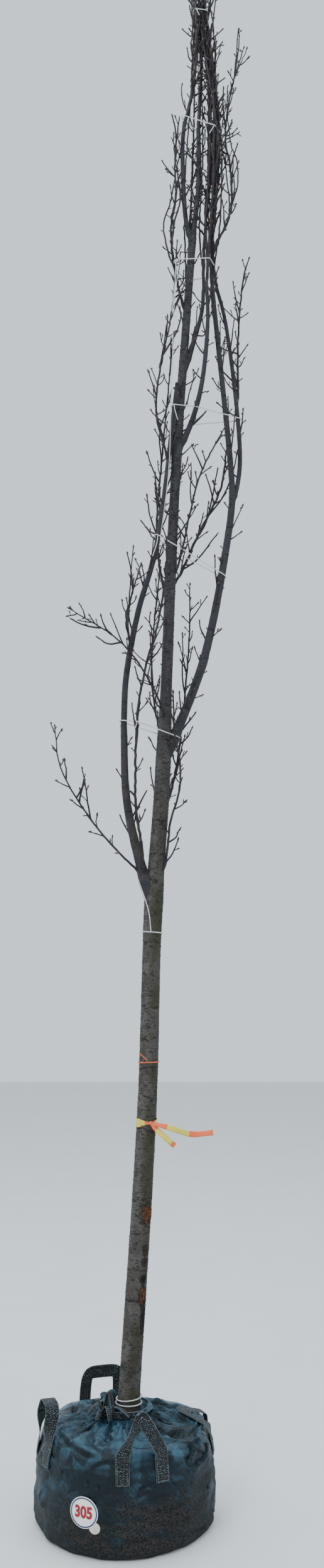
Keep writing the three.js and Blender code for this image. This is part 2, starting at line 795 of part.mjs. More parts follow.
// An end of the drawstring, which arches up from the knot and comes down again
function endFrames(knot, { azimuth, length, rise }) {
  const away = azimuth * DEGREE;
  const sideways = azimuthPoint(away + Math.PI / 2, 1, 0);
  const wave = Math.PI * DRAWSTRING.endFall;
  return evenShares(DRAWSTRING.endSteps).map((share) => {
    const centre = knot.clone().add(azimuthPoint(away, length * share, rise * Math.sin(wave * share)));
    const along = azimuthPoint(away, length, wave * rise * Math.cos(wave * share)).normalize();
    return { centre, across: sideways, out: sideways.clone().cross(along).normalize() };
  });
}

// The round tag: a disc's worth of a thin skin over the bag's wall
function tagSolid() {
  const skin = bagSolid(GAP + TAG.thickness).subtract(bagSolid(GAP));
  const through = 2 * (BAG.girthRadius - BAG.shoulderRadius);
  const disc = new THREE.CylinderGeometry(TAG.radius, TAG.radius, through, TAG.sides);
  const centre = azimuthPoint(TAG.azimuth * DEGREE, BAG.girthRadius, TAG.height);
  disc.rotateZ(TAG.azimuth * DEGREE).translate(centre.x, centre.y, centre.z);
  return skin.intersect(solidOf(disc));
}

// Ties

// The string follows the hull of the limbs that it is pulled round
function tieStations({ height, slope, round }, limbs, clearance) {
  const middle = spotAtHeight(limbs.get(round[0]), height).centre.x;
  const discs = round.map((name) => {
    const limb = limbs.get(name);
    const level = spotAtHeight(limb, height).centre.x;
    return spotAtHeight(limb, height + slope * (level - middle));
  });
  const stations = Array.from({ length: STRING.turns }, (_, i) => {
    const turn = (2 * Math.PI * i) / STRING.turns;
    const out = new THREE.Vector3(Math.cos(turn), Math.sin(turn), 0);
    const reach = (disc) => disc.centre.dot(out) + disc.radius;
    const disc = discs.reduce((best, other) => (reach(other) > reach(best) ? other : best));
    const centre = disc.centre.clone().setZ(height);
    centre.addScaledVector(out, disc.radius * (1 + STRING.slack) + clearance);
    centre.z += slope * (centre.x - middle);
    return { centre, out, disc };
  });
  return stations.filter(({ disc }, i) => {
    const [before, after] = [stations.at(i - 1), stations[(i + 1) % stations.length]];
    return i % STRING.thinning === 0 || before.disc !== disc || after.disc !== disc;
  });
}

// A tie's ring, with the loose end that leaves its foremost point: [right, forward, up]
function tieSolid(tie, limbs) {
  const stations = tieStations(tie, limbs, STRING.radius + REST);
  const loop = stations.map(({ centre }) => centre);
  addStretches(tie.name, withRadius([...loop, loop[0]], STRING.radius));
  const solid = ring(stations, STRING.radius, STRING.sides);
  if (!tie.tail) return solid;
  const front = loop.reduce((best, point) => (point.y < best.y ? point : best));
  const [right, forward, up] = tie.tail;
  const { knee } = STRING;
  const bent = front.clone().add(new THREE.Vector3(right * knee.right, -forward, up * knee.up));
  const end = front.clone().add(new THREE.Vector3(right, -forward, up));
  const curve = curveThrough([front, bent, end]);
  const tail = stationsOn(curve, evenShares(STRING.tailSteps), () => STRING.tailRadius);
  addStretches(tie.name, tail);
  return solid.add(tube(tail, STRING.sides));
}

function ribbonSolid(limbs) {
  const { centre, radius } = spotAtHeight(limbs.get("trunk"), RIBBON.height);
  const inner = radius + RIBBON.slack;
  const loop = hoop(inner, RIBBON.thickness, RIBBON.width, RIBBON.sides);
  loop.translate(centre.x, centre.y, centre.z - RIBBON.width / 2);
  const off = inner + RIBBON.thickness + RIBBON.knotOff;
  const knot = centre.clone().add(azimuthPoint(RIBBON.knotAzimuth * DEGREE, off, 0));
  const ball = new THREE.SphereGeometry(RIBBON.knotRadius, 6, 4);
  ball.translate(knot.x, knot.y, knot.z);
  const extras = [solidOf(ball), ...RIBBON.tails.map((tail) => ribbonTail(knot, tail))];
  return extras.reduce((whole, extra) => whole.add(extra), solidOf(loop));
}

function ribbonTail(knot, { width, places }) {
  const curve = curveThrough(
    places.map(([right, forward, up]) => new THREE.Vector3(right, -forward, up).add(knot)),
  );
  const face = new THREE.Vector3(0, -1, 0.15);
  const frames = evenShares(RIBBON.tailSteps).map((share) => {
    const along = curve.getTangentAt(share);
    const across = along.clone().cross(face).normalize();
    return { centre: curve.getPointAt(share), across, out: across.clone().cross(along) };
  });
  return band(frames, width, RIBBON.tailThickness);
}

// The assembly

const materials = Object.fromEntries(
  Object.entries(COLOURS).map(([slot, color]) => [
    slot,
    new THREE.MeshStandardMaterial({ color, metalness: 0, ...FINISHES[slot] }),
  ]),
);
const tree = new THREE.Group();

function place(name, solid, slot) {
  const mesh = new THREE.Mesh(geometryOf(solid), materials[slot]);
  mesh.name = name;
  tree.add(mesh);
}

const limbs = new Map();
for (const row of [{ name: "trunk", ...TRUNK }, ...BOUGHS, ...MASSES]) {
  const fineness = "twigs" in row ? STEM : "spurs" in row ? BOUGH : {};
  limbs.set(row.name, makeLimb({ ...fineness, ...row }));
}

for (const tie of TIES) place(tie.name, tieSolid(tie, limbs), "string");
place(ORANGE_STRING.name, tieSolid(ORANGE_STRING, limbs), "orange");
place("marker_ribbon", ribbonSolid(limbs), "ribbon");

place("trunk", limbSolid(limbs.get("trunk")), "bark");

// A limb with its twigs fused on, cut clear of the limbs that its foot starts in
function grownLimb({ name, parent, beside }, count, lengths, seed) {
  const limb = limbs.get(name);
  const twigs = growTwigs(limb, count, lengths, seed);
  const whole = twigs.reduce((sum, twig) => sum.add(twig), limbSolid(limb));
  const cutters = [parent, beside].filter(Boolean).map((other) => limbSolid(limbs.get(other), GAP));
  return largestBody(cutters.reduce((rest, cutter) => rest.subtract(cutter), whole));
}

for (const row of BOUGHS) {
  place(row.name, grownLimb(row, row.spurs, SPUR_LENGTHS, row.spurs), "bark");
}
for (const row of MASSES) {
  place(row.name, grownLimb(row, row.twigs, [SPUR_LENGTHS[0], row.reach], row.seed), "twigs");
}

const collarDepth = COLLAR.top - COLLAR.floor;
const collar = new THREE.CylinderGeometry(COLLAR.radius, COLLAR.radius, collarDepth, COLLAR.sides);
collar.rotateX(Math.PI / 2).translate(COLLAR.right, 0, COLLAR.floor + collarDepth / 2);
const hollows = [limbSolid(limbs.get("trunk"), GAP), solidOf(collar)];
place("root_ball_bag", hollows.reduce((rest, hollow) => rest.subtract(hollow), bagSolid()), "bag");
for (const handle of HANDLES) place(handle.name, handleSolid(handle), "webbing");
place("neck_drawstring", drawstringSolid(), "webbing");
place("lot_tag", tagSolid(), "tag");

export default tree;
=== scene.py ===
"""A young bare tree on its bagged root ball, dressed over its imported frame.

Sizes in the tables are millimetres, as [height, right, forward]; meshes are metres.
"""
import json
import random
from math import ceil, copysign, cos, hypot, pi, sin, sqrt, tau

import bmesh
import bpy
import numpy as np
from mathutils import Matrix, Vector, noise
from numpy.linalg import norm

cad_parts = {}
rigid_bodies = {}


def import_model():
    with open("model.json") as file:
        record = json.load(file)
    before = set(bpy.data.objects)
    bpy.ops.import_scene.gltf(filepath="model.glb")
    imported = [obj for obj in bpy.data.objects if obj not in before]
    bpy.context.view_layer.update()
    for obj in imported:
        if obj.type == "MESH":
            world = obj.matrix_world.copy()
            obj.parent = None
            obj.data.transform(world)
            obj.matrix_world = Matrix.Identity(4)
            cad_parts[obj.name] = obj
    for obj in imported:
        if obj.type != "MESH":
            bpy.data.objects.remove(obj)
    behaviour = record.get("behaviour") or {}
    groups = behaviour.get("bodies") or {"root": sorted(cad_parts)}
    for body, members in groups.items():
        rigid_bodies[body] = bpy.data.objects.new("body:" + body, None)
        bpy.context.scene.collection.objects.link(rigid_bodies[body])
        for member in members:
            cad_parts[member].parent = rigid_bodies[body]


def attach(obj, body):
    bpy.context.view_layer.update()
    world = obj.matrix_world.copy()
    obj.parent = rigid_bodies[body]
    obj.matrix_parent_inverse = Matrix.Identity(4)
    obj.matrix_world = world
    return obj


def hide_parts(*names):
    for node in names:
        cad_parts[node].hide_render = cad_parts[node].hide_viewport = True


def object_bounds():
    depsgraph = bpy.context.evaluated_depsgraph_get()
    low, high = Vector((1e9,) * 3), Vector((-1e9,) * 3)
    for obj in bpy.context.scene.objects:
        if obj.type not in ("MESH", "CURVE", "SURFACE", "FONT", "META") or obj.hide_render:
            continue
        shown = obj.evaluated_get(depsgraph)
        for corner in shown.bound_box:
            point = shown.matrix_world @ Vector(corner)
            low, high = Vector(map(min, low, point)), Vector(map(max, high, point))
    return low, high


bl_info = {
    "name": "Bagged Winter Tree",
    "version": (1, 0, 0),
    "blender": (4, 5, 0),
    "location": "View3D > Sidebar > Tree",
    "description": "Bark, twigs, buds, woven bag and string for a bare tree on its root ball",
    "category": "Object",
}

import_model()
CAD_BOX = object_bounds()
BODY = "root"
MM = 0.001
DEGREE = pi / 180

# The trunk's bends, its diameters as [height, diameter], and the step of its stretches
TRUNK = {
    "name": "trunk",
    "bends": [
        [300, 8, 0], [1310, 71, 4], [2004, 92, 0], [2451, 123, -4], [3300, 158, 4], [3824, 184, 4],
        [4770, 250, 0],
    ],
    "diameters": [
        [300, 98], [345, 80], [420, 73], [940, 70], [1900, 66], [2050, 71], [2170, 61], [2600, 57],
        [2840, 44], [3640, 38], [3830, 41], [3970, 35], [4700, 30], [4770, 33],
    ],
    "step": 180,
}
# Boughs, each from inside its parent: the diameters of its foot and tip, its spurs and its bends
BOUGH_ROWS = [
    ("bough_left_lower", "trunk", [37, 24.5], 4, [[2010, 92, 0], [2400, -3, 30], [2700, -18, 47]]),
    ("bough_left_upper", "bough_left_lower", [24.5, 15.5], 9, [
        [2700, -18, 47], [2883, -10, 54], [3139, 34, 58], [3400, 102, 52], [4097, 184, 36]
    ]),
    ("bough_right_lower", "trunk", [35, 27], 8, [
        [2560, 128, -2], [2972, 283, -20], [3506, 387, -44], [3650, 404, -48]
    ]),
    ("bough_right_inner", "bough_right_lower", [24, 19], 6, [
        [3620, 401, -46], [3720, 402, -50], [4560, 329, -20]
    ]),
    ("bough_right_outer", "bough_right_lower", [19, 14.5], 6, [
        [3625, 401, -48], [3718, 426, -62], [3857, 437, -66], [4439, 385, -74], [4600, 350, -78]
    ]),
    ("bough_upper_right", "trunk", [22, 14], 5, [
        [3820, 184, 4], [3929, 236, 14], [4096, 281, 22], [4372, 308, 30], [4545, 304, 34]
    ]),
    ("bough_top_right", "trunk", [19.5, 14.5], 3, [
        [4140, 206, 4], [4441, 286, -8], [4540, 293, -10]
    ]),
    ("bough_back_lower", "trunk", [29, 20], 6, [
        [2240, 110, 0], [2420, 122, -62], [2760, 128, -118], [3080, 136, -142]
    ]),
    ("bough_back_upper", "bough_back_lower", [20, 13], 8, [
        [3080, 136, -142], [3420, 148, -146], [4180, 200, -98]
    ]),
    ("leader_left", "trunk", [20, 17], 4, [
        [4750, 248, 2], [4822, 226, 10], [5190, 210, 16], [5300, 219, 18]
    ]),
    ("leader_right", "trunk", [20.5, 18], 4, [[4750, 250, 0], [5067, 279, -14], [5300, 277, -18]]),
]
BOUGH_KEYS = ("name", "parent", "diameters", "spurs", "bends")
BOUGHS = [dict(zip(BOUGH_KEYS, row)) for row in BOUGH_ROWS]
# The stems of the masses of twigs, with how many twigs each bears and how far they reach
MASS_ROWS = [
    ("twigs_left_low", "bough_left_lower", [9, 4], 13, 90, 11, [
        [2150, 46, 14], [2241, -49, 42], [2348, -138, 50], [2541, -251, 40], [2698, -276, 40]
    ]),
    ("twigs_left_arm", "trunk", [9, 4.5], 13, 100, 12, [
        [2700, 138, 0], [2797, 113, 46], [2994, -15, 94], [3138, -220, 96]
    ]),
    ("twigs_left_companion", "bough_left_lower", [11, 8], 14, 90, 13, [
        [2110, 62, 8], [2243, 51, 66], [2382, 29, 84], [2758, 38, 96], [2900, 62, 112],
        [3073, 107, 104], [3330, 148, 78]
    ]),
    ("twigs_left_spray", "bough_left_upper", [9.5, 5], 8, 110, 14, [
        [3000, 8, 58], [3063, -4, 92], [3168, 6, 100], [3308, 44, 104]
    ]),
    ("twigs_right_stem", "trunk", [10, 6], 11, 90, 15, [
        [2090, 98, 0], [2190, 137, 16], [2334, 154, 26], [2463, 190, 34], [2571, 190, 40],
        [2640, 175, 44], [2827, 166, 42]
    ]),
    ("twigs_right_slant", "trunk", [11.5, 8], 11, 90, 16, [
        [3250, 156, 2], [3330, 196, -46], [3501, 262, -92], [3735, 364, -122], [3895, 387, -126]
    ]),
    ("twigs_right_thin", "trunk", [9, 5.5], 10, 80, 17, [
        [3280, 158, 4], [3347, 188, 24], [3700, 272, 46], [3892, 367, 60]
    ]),
    ("twigs_left_high", "bough_left_upper", [9, 5], 13, 80, 18, [
        [3760, 150, 44], [3831, 128, 68], [3934, 103, 76], [4071, 108, 78], [4420, 166, 60],
        [4720, 186, 46]
    ]),
    ("twigs_left_arc", "trunk", [11, 6], 11, 70, 19, [
        [4420, 221, 2], [4569, 184, 14], [4813, 161, 26], [4930, 180, 30], [5110, 178, 40],
        [5300, 196, 44]
    ]),
    ("twigs_right_side", "bough_right_outer", [10.5, 6], 11, 80, 20, [
        [4020, 424, -68], [4110, 432, -78], [4360, 437, -86], [4646, 463, -80], [4731, 486, -78]
    ]),
    ("twigs_right_loop", "twigs_sheaf_middle", [11, 5], 13, 80, 21, [
        [4690, 330, -6], [4735, 348, 14], [4868, 404, 22], [5112, 404, 22], [5199, 388, 24],
        [5431, 412, 26], [5655, 470, 24]
    ]),
    ("twigs_sheaf_left", "bough_top_right", [14.5, 5.5], 16, 85, 22, [
        [4530, 293, -10], [4712, 296, -12], [5151, 322, -16], [5680, 312, -6], [5918, 284, -10],
        [6260, 268, -8]
    ]),
    ("twigs_sheaf_front", "bough_upper_right", [14, 5.5], 16, 85, 23, [
        [4535, 304, 34], [5151, 340, 30], [5680, 330, 22], [5918, 304, 18], [6340, 300, 14]
    ]),
    ("twigs_sheaf_middle", "bough_right_inner", [18.5, 5.5], 14, 85, 24, [
        [4550, 330, -20], [4712, 328, -12], [4886, 342, 2], [5151, 360, 2], [5500, 352, 0],
        [5918, 308, -10], [6160, 316, -8]
    ]),
    ("twigs_sheaf_back", "bough_right_outer", [14, 5.5], 14, 85, 25, [
        [4590, 352, -78], [4712, 338, -72], [5430, 346, -48], [5950, 306, -36], [6240, 310, -40]
    ]),
    ("twigs_leader_left", "leader_left", [16.5, 4.5], 21, 90, 26, [
        [5290, 218, 18], [5426, 248, 20], [5700, 272, 24], [6200, 252, 22], [6640, 262, 10]
    ]),
    ("twigs_leader_right", "leader_right", [17.5, 4.5], 21, 90, 27, [
        [5290, 277, -18], [5627, 292, -26], [5944, 286, -32], [6780, 284, -14]
    ]),
    ("twigs_back_low", "bough_back_lower", [10, 5], 13, 90, 28, [
        [2640, 126, -104], [2760, 108, -176], [2940, 84, -214], [3180, 92, -226], [3420, 118, -214]
    ]),
    ("twigs_back_right", "trunk", [11, 5], 13, 90, 29, [
        [2330, 116, 0], [2480, 160, -70], [2640, 190, -112], [3100, 232, -156], [3330, 236, -160]
    ]),
    ("twigs_back_left", "trunk", [11, 5], 13, 85, 30, [
        [3180, 156, 2], [3330, 120, -56], [3560, 104, -86], [3840, 124, -96], [4380, 172, -66]
    ]),
    ("twigs_back_high", "bough_back_upper", [12.5, 5], 19, 90, 31, [
        [4170, 200, -98], [4420, 218, -86], [5460, 262, -62], [6100, 250, -58]
    ]),
]
MASS_KEYS = ("name", "parent", "diameters", "twigs", "reach", "seed", "bends")
MASSES = [dict(zip(MASS_KEYS, row)) for row in MASS_ROWS]

# String tied round the limbs: its radii and fit in the solids, how fine it is there, and how thick
# it is drawn: a loop as a share of its radius, and a tie's end and the long loose one in mm
STRING = {
    "radius": 2.6, "tail_radius": 2.1, "slack": 0.04, "turns": 60, "thinning": 4, "rest": 0.4,
    "tail_steps": 4, "drawn": 0.8, "drawn_tail": 1.7, "drawn_loose": 1.4,
}
TAIL_KNEE = [0.2, 1, 0.4]
# Each tie: its height, slope, loose end from its front, and the limbs that it holds
TIE_ROWS = [
    ("tie_foot_low", 360, 0, [], "trunk"),
    ("tie_foot_high", 376, 0.1, [], "trunk"),
    ("tie_fork", 1936, -0.06, [-48, 12, 190], "trunk"),
    ("tie_low", 2678, -0.24, [-26, 16, -60],
     "trunk bough_left_lower twigs_left_companion bough_right_lower"),
    ("tie_slant", 3420, -0.5, [-20, 12, -90],
     "trunk bough_left_upper bough_right_lower twigs_right_thin"),
    ("tie_middle", 4000, 0, [14, 10, -70],
     "bough_left_upper trunk bough_right_inner bough_right_outer bough_upper_right "
     "bough_back_upper"),
    ("tie_sheaf", 4640, 0.12, [-16, 12, -240],
     "trunk twigs_left_high twigs_left_arc twigs_sheaf_front twigs_sheaf_middle "
     "twigs_sheaf_back twigs_back_high"),
    ("tie_leaders", 5322, -0.42, [-20, 10, -46],
     "leader_left leader_right twigs_leader_left twigs_leader_right twigs_sheaf_middle "
     "twigs_sheaf_back twigs_sheaf_front"),
    ("tie_top", 5842, 0, [12, 8, -40],
     "twigs_leader_left twigs_leader_right twigs_sheaf_front twigs_sheaf_middle "
     "twigs_sheaf_back"),
    ("tie_orange", 1478, 0.03, [-30, 20, 34], "trunk"),
]
TIE_KEYS = ("name", "height", "slope", "tail", "round")
TIES = [dict(zip(TIE_KEYS, row)) for row in TIE_ROWS]
ORANGE = TIES.pop()

# How twigs leave a stem in the solids
TURN = 137.5 * DEGREE
TWIG = {
    "leave": [28, 52], "lift": 0.45, "radius": 0.9, "thicker": 0.018, "most": 0.8, "knee": 0.45,
    "clear": 1.2, "from": 0.1, "spacing": [0.2, 0.8], "fullness": [0.22, 0.9], "straight": 60,
    "tries": 4, "retry": 0.4,
}
SPUR_LENGTHS = [28, 75]
BOUGH_STEP = 130
STEM_STEP = 170
FEWEST_STEPS = 4
UP = np.array([0, 0, 1])


def seeded(seed):
    """The solids' repeatable row of numbers between 0 and 1."""
    mask = 0xFFFFFFFF
    state = seed * 2654435761 & mask

    def draw():
        nonlocal state
        state = ((state ^ state >> 15) * (1 | state) + 0x6D2B79F5) & mask
        mixed = ((state ^ state >> 7) * (61 | state) ^ state) & mask
        return (mixed ^ mixed >> 14) / 2**32

    return draw


def between(ends, share):
    return ends[0] + (ends[1] - ends[0]) * share


def unit(vector):
    return vector / norm(vector)


def point_of(place):
    height, right, forward = place
    return [right, -forward, height]


def lengths_along(points, scale=1):
    """How far along a line of points each of them lies."""
    steps = norm(np.diff(points, axis=0), axis=1) * scale
    return np.concatenate([[0], np.cumsum(steps)])


class Route:
    """A centripetal Catmull-Rom curve through points, read by its share of length."""

    def __init__(self, points):
        self.points = np.array(points, float)
        self.marks = np.linspace(0, 1, 401)
        self.lengths = lengths_along(self.place(self.marks))
        self.length = self.lengths[-1]

    def place(self, marks):
        before = 2 * self.points[0] - self.points[1]
        after = 2 * self.points[-1] - self.points[-2]
        padded = np.vstack([before, self.points, after])
        spans = np.sqrt(norm(np.diff(padded, axis=0), axis=1))
        place = np.clip(marks, 0, 1) * (len(self.points) - 1)
        first = np.minimum(place.astype(int), len(self.points) - 2)
        t = (place - first)[:, None]
        p0, p1, p2, p3 = (padded[first + i] for i in range(4))
        d0, d1, d2 = (spans[first + i][:, None] for i in range(3))
        leave = ((p1 - p0) / d0 - (p2 - p0) / (d0 + d1) + (p2 - p1) / d1) * d1
        arrive = ((p2 - p1) / d1 - (p3 - p1) / (d1 + d2) + (p3 - p2) / d2) * d1
        square = 3 * (p2 - p1) - 2 * leave - arrive
        cube = 2 * (p1 - p2) + leave + arrive
        return p1 + leave * t + square * t**2 + cube * t**3

    def at(self, shares):
        return self.place(np.interp(np.asarray(shares) * self.length, self.lengths, self.marks))

    def even(self, step):
        """Points a step apart, from end to end."""
        return self.at(np.linspace(0, 1, max(3, int(self.length / step) + 1)))


def share_at_height(height_at, height):
    low, high = 0, 1
    for _ in range(30):
        middle = (low + high) / 2
        if height_at(middle) < height:
            low = middle
        else:
            high = middle
    return low


class Limb:
    """A trunk, bough or stem: its smooth route, and the straight stretches that the solids have."""

    def __init__(self, row):
        self.row = row
        self.name = row["name"]
        self.route = Route([point_of(bend) for bend in row["bends"]])
        if "step" in row:
            shares = self.table_shares(row["diameters"], row["step"])
        else:
            step = BOUGH_STEP if "spurs" in row else STEM_STEP
            steps = max(FEWEST_STEPS, int(self.route.length / step + 0.5))
            shares = np.linspace(0, 1, steps + 1)
        self.centres = self.route.at(shares)
        self.radii = self.radius_at(shares)

    def radius_at(self, shares):
        diameters = self.row["diameters"]
        if "step" not in self.row:
            return between(diameters, np.asarray(shares)) / 2
        heights, widths = zip(*diameters)
        return np.interp(self.route.at(shares)[:, 2], heights, widths) / 2

    def even(self, step):
        """Points a step apart on the smooth route, and the radius at each."""
        points = self.route.even(step)
        return points, self.radius_at(np.linspace(0, 1, len(points)))

    def table_shares(self, table, step):
        shares = [0]
        for (low, _), (high, _) in zip(table, table[1:]):
            parts = ceil((high - low) / step)
            for j in range(1, parts + 1):
                shares.append(self.smooth_share(between([low, high], j / parts)))
        return np.array(shares[:-1] + [1])

    def spot(self, share):
        """Middle, direction and radius at a share of the straight stretches."""
        place = share * (len(self.centres) - 1)
        i = min(int(place), len(self.centres) - 2)
        start, end = self.centres[i], self.centres[i + 1]
        centre = start + (end - start) * (place - i)
        return centre, unit(end - start), between(self.radii[i : i + 2], place - i)

    def spot_at_height(self, height):
        return self.spot(share_at_height(lambda share: self.spot(share)[0][2], height))

    def smooth_share(self, height):
        return share_at_height(lambda share: self.route.at([share])[0][2], height)

    def smooth_spot_at_height(self, height):
        share = self.smooth_share(height)
        return self.route.at([share])[0], None, self.radius_at([share])[0]


class Stretches:
    """Straight stretches of everything that is placed, which new twigs must clear."""

    def __init__(self):
        self.starts, self.ends, self.radii, self.owners = [], [], [], []

    def add(self, owner, points, radii):
        for i in range(1, len(points)):
            self.starts.append(points[i - 1])
            self.ends.append(points[i])
            self.radii.append(max(radii[i - 1], radii[i]))
            self.owners.append(owner)

    def clear(self, points, radius, owner):
        starts, ends = np.array(self.starts), np.array(self.ends)
        others = np.array([name != owner for name in self.owners])
        room = radius + np.array(self.radii) + TWIG["clear"]
        for start, end in zip(points, points[1:]):
            if np.any(others & (line_distances(start, end, starts, ends) < room)):
                return False
        return True


def line_distances(start, end, starts, ends):
    """The least distance from one straight stretch to each of many."""
    d1, d2, r = end - start, ends - starts, start - starts
    a, e = d1 @ d1, np.einsum("ij,ij->i", d2, d2)
    b, c, f = d2 @ d1, r @ d1, np.einsum("ij,ij->i", d2, r)
    spread = a * e - b * b
    s = np.where(spread > 1e-9, np.clip((b * f - c * e) / np.maximum(spread, 1e-9), 0, 1), 0)
    t = np.clip((b * s + f) / e, 0, 1)
    s = np.clip((b * t - c) / a, 0, 1)
    return norm(start + s[:, None] * d1 - starts - t[:, None] * d2, axis=1)


def tie_stations(tie, limbs, spot_at_height, clearance):
    """The hull of the limbs that a string is pulled round, as points in order."""
    names, slope, height = tie["round"].split(), tie["slope"], tie["height"]
    middle = spot_at_height(limbs[names[0]], height)[0][0]
    discs = []
    for name in names:
        level = spot_at_height(limbs[name], height)[0][0]
        discs.append(spot_at_height(limbs[name], height + slope * (level - middle)))
    turns = STRING["turns"]
    stations, held = [], []
    for i in range(turns):
        turn = tau * i / turns
        out = np.array([cos(turn), sin(turn), 0])
        best = max(range(len(discs)), key=lambda k: discs[k][0] @ out + discs[k][2])
        centre, _, radius = discs[best]
        point = centre + out * (radius * (1 + STRING["slack"]) + clearance)
        point[2] = height + slope * (point[0] - middle)
        stations.append(point)
        held.append(best)
    return [
        stations[i] for i in range(turns)
        if i % STRING["thinning"] == 0 or held[i - 1] != held[i] or held[(i + 1) % turns] != held[i]
    ]


def tie_tail(tie, loop):
    front = min(loop, key=lambda point: point[1])
    right, forward, up = tie["tail"]
    knee = front + np.array([right * TAIL_KNEE[0], -forward * TAIL_KNEE[1], up * TAIL_KNEE[2]])
    return Route([front, knee, front + np.array([right, -forward, up])])


def grow_twigs(limb, count, lengths, seed, stretches):
    """The solids' twigs, as (share of the limb, knee or None, tip, radius at the foot)."""
    draw = seeded(seed)
    twigs = []
    for i in range(count):
        share = between([TWIG["from"], 1], (i + between(TWIG["spacing"], draw())) / count)
        centre, along, stem = limb.spot(share)
        fullness = sin(pi * between(TWIG["fullness"], share))
        length = between(lengths, draw() * fullness)
        radius = min(TWIG["radius"] + length * TWIG["thicker"], stem * TWIG["most"])
        for attempt in range(TWIG["tries"]):
            leave = between(TWIG["leave"], draw()) * DEGREE
            turn = (i + attempt * TWIG["retry"]) * TURN
            points = twig_points(centre, along, stem, turn, length, leave)
            if not stretches.clear(points, radius, limb.name):
                continue
            stretches.add(limb.name, points, [radius] * len(points))
            twigs.append({"share": share, "points": points, "radius": radius})
            break
    return twigs


def sideways_of(along, turn):
    level = unit(np.cross([1, 0, 0], along))
    return level * cos(turn) + np.cross(along, level) * sin(turn)


def leaning(along, turn, leave):
    """A direction at an angle to another one, turned round it."""
    return along * cos(leave) + sideways_of(along, turn) * sin(leave)


def twig_points(centre, along, stem, turn, length, leave):
    first = leaning(along, turn, leave)
    if length < TWIG["straight"]:
        return [centre, centre + first * (stem + length)]
    second = unit(first + UP * TWIG["lift"])
    knee = centre + first * (stem + length * TWIG["knee"])
    return [centre, knee, knee + second * length * (1 - TWIG["knee"])]


def grow_tree():
    """All limbs, and the twigs of the solids on them."""
    limbs = {row["name"]: Limb(row) for row in [TRUNK, *BOUGHS, *MASSES]}
    stretches = Stretches()
    for limb in limbs.values():
        stretches.add(limb.name, limb.centres, limb.radii)
    for tie in [*TIES, ORANGE]:
        loop = tie_stations(tie, limbs, Limb.spot_at_height, STRING["radius"] + STRING["rest"])
        stretches.add(tie["name"], [*loop, loop[0]], [STRING["radius"]] * (len(loop) + 1))
        if tie["tail"]:
            tail = tie_tail(tie, loop).at(np.linspace(0, 1, STRING["tail_steps"] + 1))
            stretches.add(tie["name"], tail, [STRING["tail_radius"]] * len(tail))
    twigs = {}
    for row in [*BOUGHS, *MASSES]:
        count = row.get("twigs") or row["spurs"]
        lengths = [SPUR_LENGTHS[0], row.get("reach", SPUR_LENGTHS[1])]
        seed = row.get("seed", count)
        twigs[row["name"]] = grow_twigs(limbs[row["name"]], count, lengths, seed, stretches)
    return limbs, twigs


LIMBS, TWIGS = grow_tree()


# Finer growth, which only this file makes

# Side spurs on a mass's stem, a bough and a shoot: how sparse, and the share of its foot left bare
SPURS_ON = {"stem": (1.3, 0.08), "bough": (2.6, 0.15), "shoot": (1.1, 0.3)}
SPUR = {
    "leave": [34, 58], "lift": 0.25, "power": 1.3, "least": 3, "width": [1.7, 2.5],
    "gap": [0.65, 1.35], "stray": 0.25, "clear_tip": 6,
}
# Buds: sizes against a side bud, proportions, and how far back and out those beside an end bud sit
BUD = {
    "end": 1.2, "beside": 0.85, "bare": 0.8, "length": [0.8, 1.2], "width": [0.2, 0.26],
    "sunk": 1.5, "back": [3, 9], "apart": 2.6, "out": 0.7,
}
SHOOT = {
    "sway": 3, "sag": -2, "step": 11, "thicker": 1.6, "taper": 0.62, "thinnest": 1.8, "kink": 0.32,
}
# Long shoots beside a limb: where they sprout, how crowded they are by the limb's mean height, the
# share that leaves wide, and how they bend, with how the wide and the close ones leave and how long
WHIP = {
    "from": 0.12, "from_on_trunk": 0.62, "to": 0.86, "heights": [2600, 3400, 5200],
    "crowding": [0.55, 1.35, 1.6], "off_mass": 0.8, "wide": 0.45, "power": 1.3,
    "radius": [2.8, 4.2], "fewest": 5, "step": 12, "lift": 0.05, "kink": 0.05, "reach": 75,
    "inside_box": 12,
}
LEAVES_WIDE = {"leave": [38, 62], "length": [90, 230]}
LEAVES_CLOSE = {"leave": [9, 26], "length": [110, 340]}
# Long stems that wind round those of the tied sheaf: how many by mean height, and their course
COMPANION = {
    "heights": [4300, 4700, 5400], "counts": [0, 2, 3.2], "step": 16, "from": [0.02, 0.3],
    "to": [0.8, 1], "winding": [-5, 5], "off": [16, 34], "join": 7, "kink": 3.4,
    "radius": [3.2, 4.6], "below_top": 20, "fewest": 8,
}
TIP_TAPER = [0.95, 0.85, 0.7]
# The collar where a limb leaves its parent, by the limb's radius: place, width, swelling and limit
COLLAR = {"at": 0.3, "wide": 1.1, "swell": 0.42, "most": 0.94}


def wander(start, aim, length, chance):
    """A shoot's points: it leaves along aim, bends up, and kinks a little at each step."""
    points, direction = [np.array(start, float)], unit(np.array(aim, float))
    for _ in range(max(3, int(length / WHIP["step"]))):
        kink = np.array([chance.gauss(0, 1), chance.gauss(0, 1), chance.gauss(0, 0.5)])
        direction = unit(direction + UP * WHIP["lift"] + kink * WHIP["kink"])
        points.append(points[-1] + direction * WHIP["step"])
    return np.array(points)


def kinked(points, radius, chance):
    """A route's points, moved a little aside so that it looks grown."""
    moved = points.copy()
    for i in range(1, len(moved) - 1):
        moved[i] += np.array([chance.gauss(0, 1), chance.gauss(0, 1), 0]) * radius * SHOOT["kink"]
    return moved


